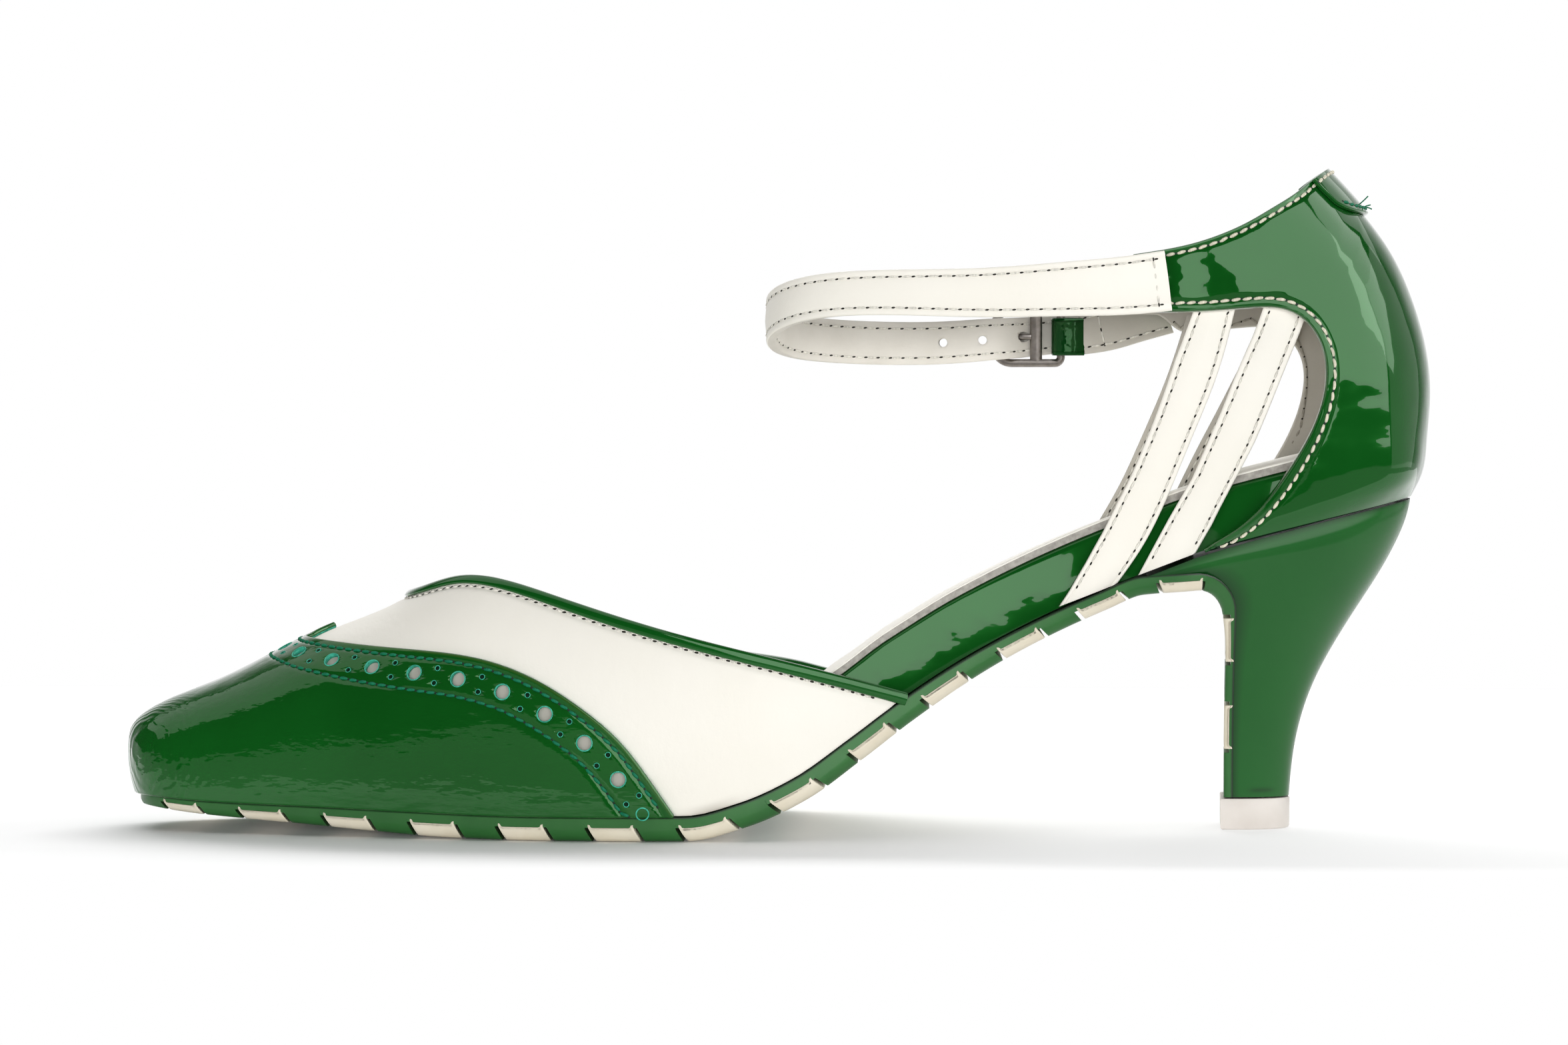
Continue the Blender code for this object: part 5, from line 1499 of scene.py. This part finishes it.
def make_ankle_strap():
    count, end_skip = 300, 8
    offset = GAP + STRAP_THICKNESS / 2 + BAND_LEAN
    root = band_face(np.array([STRAP_OVERLAP_X]), np.array([ANKLE_STRAP[0].z + ROOT_RISE]), -1, offset)[0]
    line = even_points([Strap(*root, ANKLE_STRAP[0].width + ROOT_WIDER)] + ANKLE_STRAP, count)
    points, widths = line[:, :3], line[:, 3]
    across, normals = ribbon_frame(points, -strap_normals(points))
    tip = smoothstep(np.linspace(0, 1, count) * count / end_skip)[::-1]
    strip = (points, across, normals, widths * (0.55 + 0.45 * tip), STRAP_THICKNESS, STRAP_ROW)
    strap = add_strap("ankle_strap_leather", *strip, ["white_leather", "strap_lining"])
    outer = np.where(points[:, 1] > 0)[0]
    holes = [outer[np.argmin(np.abs(points[outer, 0] - x))] for x in STRAP_HOLE_X]
    punch(strap, points[holes], normals[holes], STRAP_HOLE_RADIUS, -STRAP_CUT, STRAP_CUT, "cut_edge", 20)
    slot = tube(prong_path(), PRONG_RADIUS + 1.5 * GAP, 12)
    cut_away(strap, add_loft("cutter", slot, ["cut_edge"], sharp=60), lined=False)
    place(strap, "white_leather", "ankle_strap")
    strap_seams("ankle_strap", *strip, slice(3, -end_skip))
    end = int(np.searchsorted(arc_length(points), ANKLE_SEAM))
    cross_seam("ankle_strap", *strip, end, 1, "thread_white", 0.02)


def make_buckle_strap():
    rows = list(BUCKLE_STRAP)
    offset = GAP + STRAP_THICKNESS / 2 + BAND_LEAN
    root = band_face(np.array([rows[0].x]), np.array([rows[0].z]), 1, offset)[0]
    rows[0] = Strap(*root, rows[0].width)
    rows[-1] = rows[-1]._replace(x=KEEPER_END_X - 0.4)
    line = even_points(rows, 50)
    points, widths = line[:, :3], line[:, 3]
    across, normals = ribbon_frame(points, strap_normals(points))
    strip = (points, across, normals, widths, STRAP_THICKNESS, STRAP_ROW)
    strap = add_strap("buckle_strap_leather", *strip, ["white_leather", "lining"])
    place(strap, "white_leather", "buckle_strap")
    strap_seams("buckle_strap", *strip, slice(3, -3))
    length = arc_length(points)
    end = int(np.searchsorted(length, length[-1] - BUCKLE_SEAM))
    cross_seam("buckle_strap", *strip, end, -1, "thread_grey", -0.02)


def make_buckle():
    half = BUCKLE_HALF_HEIGHT - BUCKLE_WIRE
    front, rear = BUCKLE_FRONT_X + BUCKLE_FRONT_RADIUS, BUCKLE_REAR_X - BUCKLE_REAR_RADIUS
    corners = (
        (front, 1, BUCKLE_FRONT_RADIUS, 90),
        (front, -1, BUCKLE_FRONT_RADIUS, 180),
        (rear, -1, BUCKLE_REAR_RADIUS, 270),
        (rear, 1, BUCKLE_REAR_RADIUS, 360),
    )
    points = []
    for x, end, radius, first in corners:
        for angle in np.radians(np.linspace(first, first + 90, 12)):
            z = end * (half - radius) + radius * math.sin(angle)
            points.append((x + radius * math.cos(angle), BUCKLE_Y, BUCKLE_Z + z))
    wire = tube(points, BUCKLE_WIRE, 16, closed=True, flat=0.85)
    place(add_loft("buckle_ring", wire, ["gunmetal"], closed=True, sharp=60), "gunmetal", "buckle_frame")
    ends = [(BUCKLE_BAR_X, BUCKLE_Y, BUCKLE_Z + z) for z in np.linspace(-half, half, 9)]
    bar = tube(ends, BUCKLE_BAR_RADIUS, 16, flat=0.5)
    place(add_loft("buckle_bar", bar, ["gunmetal"], sharp=60), "gunmetal")
    prong = tube(even_points(prong_path(), 24), PRONG_RADIUS, 14)
    place(add_loft("buckle_tongue", prong, ["gunmetal"], sharp=60), "gunmetal", "buckle_prong")


def make_keeper():
    bar = BUCKLE_WIRE + GAP + KEEPER_LEAF / 2
    leaf = GAP / 2 + KEEPER_LEAF / 2
    neck_x = BUCKLE_REAR_X + KEEPER_NECK
    line = [(KEEPER_END_X, BUCKLE_Y - leaf), (neck_x, BUCKLE_Y - 0.95 * bar)]
    for angle in np.linspace(1.5 * math.pi, 0.5 * math.pi, 13):
        line.append((BUCKLE_REAR_X + bar * math.cos(angle), BUCKLE_Y + bar * math.sin(angle)))
    line += [(neck_x, BUCKLE_Y + 0.95 * bar), (KEEPER_END_X, BUCKLE_Y + leaf)]
    points = even_points([(x, y, BUCKLE_Z) for x, y in line], 60)
    across, normals = ribbon_frame(points, strap_normals(points))
    widths = np.full(len(points), 2 * KEEPER_HALF_HEIGHT)
    strip = (points, across, normals, widths, KEEPER_LEAF, KEEPER_ROW)
    # The keeper takes the darker copy of the patent: painted shade.
    keeper = add_strap("buckle_keeper_patent", *strip, ["keeper_patent_painted_shade"] * 2, dip=0.0)
    place(keeper, "green_patent", "buckle_keeper")


# Footbed, insole, heel and sole


def slab_sections(inset, low, high, edge, whole_tilt=False):
    """Loops of a slab with the feather line's outline, its upper edges rounded."""
    sections = []
    for x, medial, lateral in zip(*inset_outline(SLAB_SECTIONS, inset)):
        z_low, z_high, tilt = float(low(x)), float(high(x)), float(footbed_tilt(x))
        low_tilt = tilt if whole_tilt else 0.0
        soft = min(edge, 0.4 * (lateral - medial), 0.7 * (z_high - z_low))
        loop = [(x, medial, z_low)]
        for angle in np.linspace(0, math.pi / 2, 5):
            loop.append((x, medial + soft * (1 - math.cos(angle)), z_high - soft * (1 - math.sin(angle))))
        middle = (medial + lateral) / 2
        loop.append((x, middle, z_high - tilt / 2))
        for angle in np.linspace(math.pi / 2, 0, 5):
            z = z_high - tilt - soft * (1 - math.sin(angle))
            loop.append((x, lateral - soft * (1 - math.cos(angle)), z))
        loop.append((x, lateral, z_low - low_tilt))
        sections.append(np.array(loop))
    return sections


def make_footbed():
    sections = slab_sections(FOOTBED_INSET, lambda x: bed(x) + GAP, footbed_top, FOOTBED_EDGE)
    place(add_loft("footbed_patent", sections, ["patent_green"]), "green_patent", "footbed")

    def low(x):
        return footbed_top(x) + 0.05

    def high(x):
        return footbed_top(x) + GAP + INSOLE_THICKNESS

    sections = slab_sections(INSOLE_INSET, low, high, INSOLE_EDGE, whole_tilt=True)
    slots = np.array([1] + [0] * 10 + [1, 1])
    place(add_loft("insole_sock", sections, ["white_leather", "cut_edge"], slots), "insole_leather", "insole")


def breast_turn(path):
    return BREAST_TURN * smoothstep((path - TURN_START) / TURN_LENGTH)


def make_heel():
    rises = column(HEEL, "rise")
    steps = np.concatenate([np.linspace(0, 3, 12)[:-1], np.linspace(3, rises[-1], 80)])
    names = ("back_x", "back_z", "half", "squareness")
    columns = [read(HEEL, steps, name) for name in names]
    levels = [Level(*row) for row in zip(steps, *columns)]
    sections = [heel_loop(level, 49, level is levels[-1]) for level in levels]
    edges = []
    for level, loop in zip(levels, sections):
        back = loop[:, 0].max()
        front_share = (back - loop[:, 0]) / (back - loop[:, 0].min())
        path = SOLE_LENGTH[-1] - level.rise
        closer = np.subtract(on_sole(path, 0.1), on_sole(path, -GAP))
        loop[:, 0] += (breast_turn(path) * (loop[:, 1] + level.half) + closer[0]) * front_share
        loop[:, 2] += closer[1] * front_share
        # The breast's front corners, where the heel meets the sole, are darkened: painted shade in the seam.
        edges.append(np.where(front_share > 0.995, 0.9, 0.0))
    sections[-1][:, 2] += 0.15
    # The top loop under the counter is darkened too: painted shade in that seam.
    edges[-1][:] = 0.9
    verts = np.concatenate(sections)
    smudge_and_seam_shade = 0.8 * np.exp(-(((verts[:, 2] - SMUDGE_Z) / 0.5) ** 2) - ((verts[:, 0] - SMUDGE_X) / 2.4) ** 4)
    smudge_and_seam_shade = np.maximum(smudge_and_seam_shade, np.concatenate(edges))
    place(add_loft("heel_block", sections, ["heel_lacquer"], tone=smudge_and_seam_shade), "green_lacquer", "heel")


def make_top_lift():
    share, side = half_round(HEEL[0].squareness, 41)
    loops = ((0.0, 0.5), (0.12, 0.2), (0.4, 0.0), (LIFT_THICKNESS - 0.25, -0.05), (LIFT_THICKNESS, 0.15))
    sections = []
    for z, shrink in loops:
        x = LIFT_FRONT_X + shrink + (LIFT_BACK_X - LIFT_FRONT_X - 2 * shrink) * share
        x = x + BREAST_TURN * LIFT_HALF * (side + 1) * (1 - share)
        sections.append(np.stack([x, (LIFT_HALF - shrink) * side, np.full(len(x), z)], axis=1))
    place(add_loft("top_lift_cream", sections, ["lift_rubber"]), "cream_rubber", "top_lift")


def tread_lean(path):
    """How far the slits between the tread's bars lean back towards the ground."""
    arch, heel = smoothstep((path - ARCH_PATH) / 25), smoothstep((path - HEEL_PATH) / 20)
    return SLIT_LEAN - ARCH_LOSS * arch - HEEL_LOSS * heel


def sole_loop(path, top, floor, proud=0.0, trim=0.0):
    """Loop across the sole from a top depth down to a floor depth, its lower edges rounded."""
    bottom = float(sole_depth(path))
    base = bottom * BAR_BASE_SHARE
    medial, lateral = sole_edges(path)
    soft = min(0.5 * bottom, 0.35 * (lateral - medial))
    angles = np.linspace(0, math.pi / 2, 7)
    side = [(0.1, top), (0.0, top + 0.15), (0.0, top + 0.45), (0.0, (top + bottom - soft) / 2)]
    side += [(soft * (1 - math.cos(a)), bottom - soft * (1 - math.sin(a))) for a in angles]
    side = [(inset, min(depth, floor)) for inset, depth in side]
    near_side, far_side = [], []
    for inset, depth in side:
        move = tread_lean(path) * max(depth - base, 0) / (bottom - base)
        x, z = on_sole(path + move, depth - trim)
        near, far = sole_edges(path + move)
        turned = breast_turn(path) * (far - near)
        near_side.append((x, near + inset - proud + trim, max(z, 0.0)))
        far_side.append((x + turned, far - inset + proud - trim, max(z, 0.0)))
    return np.array(near_side + far_side[::-1])


def make_sole():
    ends = [bar_ends(index) for index in range(BAR_COUNT)]
    ends[0] = (ends[0][0] + FIRST_BAR_SHIFT, ends[0][1])
    stations = [(path, True) for path in TOE_PATHS]
    for (front, rear), after in zip(ends, ends[1:] + [(SOLE_LENGTH[-1] + BAR_GROOVE, None)]):
        front, rear = front - BAR_GROOVE, rear + BAR_GROOVE
        stations += [(front - GROOVE_EDGE, True), (front + GROOVE_EDGE, False)]
        stations += [(path, False) for path in np.linspace(front, rear, 8)[1:-1]]
        stations += [(rear - GROOVE_EDGE, False), (rear + GROOVE_EDGE, True)]
        stations += [(path, True) for path in np.linspace(rear, after[0] - BAR_GROOVE, 8)[1:-1]]
    stations.append((SOLE_LENGTH[-1], True))
    sections = []
    for path, tread in stations:
        bottom = float(sole_depth(path))
        sections.append(sole_loop(path, 0.0, bottom if tread else bottom * BAR_BASE_SHARE))
    # The sole's top edge, where it meets the upper, takes the dark tone: painted shade in the seam.
    line = np.zeros(len(sections[0]))
    line[[0, 1, -2, -1]] = 1.0
    dark = np.tile(line, len(sections))
    outsole = add_loft("outsole_rubber", sections, ["sole_green"], tone=dark, sharp=50)
    place(outsole, "green_rubber", "outsole")
    for index, (front, rear) in enumerate(ends):
        into = BAR_EAR[-1][0]
        stations = [(front + at, rise, trim) for at, rise, trim in BAR_EAR]
        stations += [(path, 0.0, 0.0) for path in np.linspace(front + into, rear - into, 9)[1:-1]]
        stations += [(rear - at, rise, trim) for at, rise, trim in BAR_EAR[::-1]]
        sections = []
        for path, rise, trim in stations:
            bottom = float(sole_depth(path))
            top = bottom * BAR_BASE_SHARE + BAR_SEAT - rise
            sections.append(sole_loop(path, top, bottom, BAR_PROUD, trim))
        name = f"tread_bar_{index + 1:02d}"
        place(add_loft(name + "_cream", sections, ["sole_cream"], sharp=50), "cream_rubber", name)


# Floor, light and camera


# Camera in metres and radians, and the photo's width, focal length and middle in its own pixels
CAMERA_TURN = math.radians(1.8)
CAMERA_DISTANCE, CAMERA_HEIGHT, CAMERA_PITCH = 0.850, 0.076, 0.0208
PHOTO_WIDTH, PHOTO_FOCAL, PHOTO_MIDDLE_X = 2352, 6620, 1165
# Floor in metres
FLOOR_Z = -0.05 * MM
PAPER = (0.92, 0.92, 0.92)
FLOOR_CORNERS = ((-0.40, -0.095), (0.36, -0.095), (0.46, 0.45), (-0.52, 0.45))


def split_place(tree, source):
    node = tree.nodes.new("ShaderNodeSeparateXYZ")
    tree.links.new(add_node(tree, "TexCoord", source, {}), node.inputs["Vector"])
    return node.outputs["X"], node.outputs["Y"], node.outputs["Z"]


def make_stage():
    """Sheet of pale paper under the shoe that glows plain white in front of the ball and behind it: painted
    light that hides the shadows there.
    """
    mesh = bpy.data.meshes.new("floor")
    mesh.from_pydata([(x, y, FLOOR_Z) for x, y in FLOOR_CORNERS], [], [(0, 1, 2, 3)])
    floor = bpy.data.objects.new("floor", mesh)
    bpy.context.scene.collection.objects.link(floor)
    lit = {"Specular_IOR_Level": 0.1, "Emission_Color": (1, 1, 1, 1)}
    tree, shader = make_material("floor_paper", PAPER, 0.8, **lit)
    x, y, _ = split_place(tree, "Object")
    # The paper's glow is painted light: it rises to the right and to the front, while the paper's own colour
    # fades out.
    right = mapped(tree, x, -0.02, 0.06, 0.02, 0.6)
    front = mapped(tree, y, -0.055, -0.092, 0.02, 1.0)
    painted_glow = math_node(tree, "MAXIMUM", right, front)
    tree.links.new(painted_glow, shader.inputs["Emission Strength"])
    tree.links.new(ramp(tree, painted_glow, ((0.0, PAPER), (1.0, (0, 0, 0)))), shader.inputs["Base Color"])
    mesh.materials.append(MATERIAL["floor_paper"])


def make_world():
    """White backdrop for the picture.

    For light it is pale behind the shoe, half bright as a table below, and dark in front.
    The table's edge is higher on the left.
    """
    world = bpy.data.worlds.new("studio")
    bpy.context.scene.world = world
    world.use_nodes = True
    tree = world.node_tree
    back = tree.nodes["Background"]
    back.inputs["Color"].default_value = (1, 1, 1, 1)
    x, y, z = split_place(tree, "Generated")
    behind = mapped(tree, y, 0.5, 0.97, 0.03, 0.9)
    edge = mapped(tree, x, -0.14, 0.02, 0.13, -0.10)
    below = mapped(tree, math_node(tree, "SUBTRACT", z, edge), -0.006, 0.006, 0.42, 0.03)
    shade = math_node(tree, "MAXIMUM", behind, below)
    seen = add_node(tree, "LightPath", "Is Camera Ray", {})
    strength = add_node(tree, "Mix", "Result", {"Factor": seen, "A": shade, "B": 1.0})
    tree.links.new(strength, back.inputs["Strength"])


Light = namedtuple("Light", "name place aim size radiance roll")
# Cards that only show in the gloss
CARDS = table(
    Light,
    ("key", (0.84, -0.978, 1.1), (0.18, 0.027, 1.06), (1.75, 2.06), 2.75, 0),
    ("key_side", (1.59, -0.042, 1.377), (0, -0.042, 1.377), (1.0, 2.196), 2.4, -0.649),
    ("rim", (1.07, 0.9, 1.0), (0.107, -0.014, 0.12), (0.7, 0.45), 0.8, 0),
    ("sky", (-1.1, 0.2, 1.25), (-1.1, 0.2, 0), (2.6, 1.4), 0.75, 0),
    ("side", (1.43, 0.15, 0.38), (0.16, -0.13, 0.38), (1.23, 1.05), 0.55, 0),
)
# Softboxes that give only matt light
BOXES = table(
    Light,
    ("side_fill", (1.43, 0.15, 0.38), (0.16, -0.13, 0.1), (1.23, 1.05), 2.4, 0),
    ("top", (0, 0.15, 1.3), (0, 0.15, 0), (2.2, 1.6), 0.8, 0),
    ("back", (0, 1.35, 1.2), (0, 0, 0), (2.2, 0.5), 10.0, 0),
    ("fill", (-0.05, -1.4, 0.14), (-0.05, 0, 0.1), (2.4, 0.3), 9.7, 0),
)


def add_area(row, glossy):
    """Light of even brightness, seen either in the gloss or in the matt light."""
    light = bpy.data.lights.new(row.name, "AREA")
    light.shape = "RECTANGLE"
    light.size, light.size_y = row.size
    light.energy = math.pi * row.size[0] * row.size[1] * row.radiance
    obj = bpy.data.objects.new(row.name, light)
    obj.visible_glossy, obj.visible_diffuse = glossy, not glossy
    obj.location = row.place
    facing = (Vector(row.aim) - Vector(row.place)).to_track_quat("-Z", "Y")
    obj.rotation_euler = (facing @ Quaternion((0, 0, 1), row.roll)).to_euler()
    bpy.context.scene.collection.objects.link(obj)


def make_lights():
    for row in CARDS:
        add_area(row, glossy=True)
    for row in BOXES:
        add_area(row, glossy=False)


def make_camera():
    camera = bpy.data.cameras.new("camera")
    camera.sensor_width = 36.0
    camera.lens = PHOTO_FOCAL / PHOTO_WIDTH * camera.sensor_width
    camera.shift_x = (PHOTO_WIDTH / 2 - PHOTO_MIDDLE_X) / PHOTO_WIDTH
    obj = bpy.data.objects.new("camera", camera)
    x, y = CAMERA_DISTANCE * math.sin(CAMERA_TURN), -CAMERA_DISTANCE * math.cos(CAMERA_TURN)
    obj.location = (x, y, CAMERA_HEIGHT)
    obj.rotation_euler = (math.pi / 2 - CAMERA_PITCH, 0, CAMERA_TURN)
    bpy.context.scene.collection.objects.link(obj)
    bpy.context.scene.camera = obj


def main():
    bpy.context.scene.view_settings.view_transform = "Standard"
    make_patents()
    make_rubbers()
    make_leathers()
    make_small_finishes()
    make_stage()
    make_world()
    make_lights()
    make_camera()
    make_sole()
    make_heel()
    make_top_lift()
    make_footbed()
    make_vamp()
    make_toe_cap()
    make_binding()
    make_counter()
    make_back_tab()
    make_side_straps()
    make_ankle_strap()
    make_buckle_strap()
    make_buckle()
    make_keeper()
    make_threads()


main()
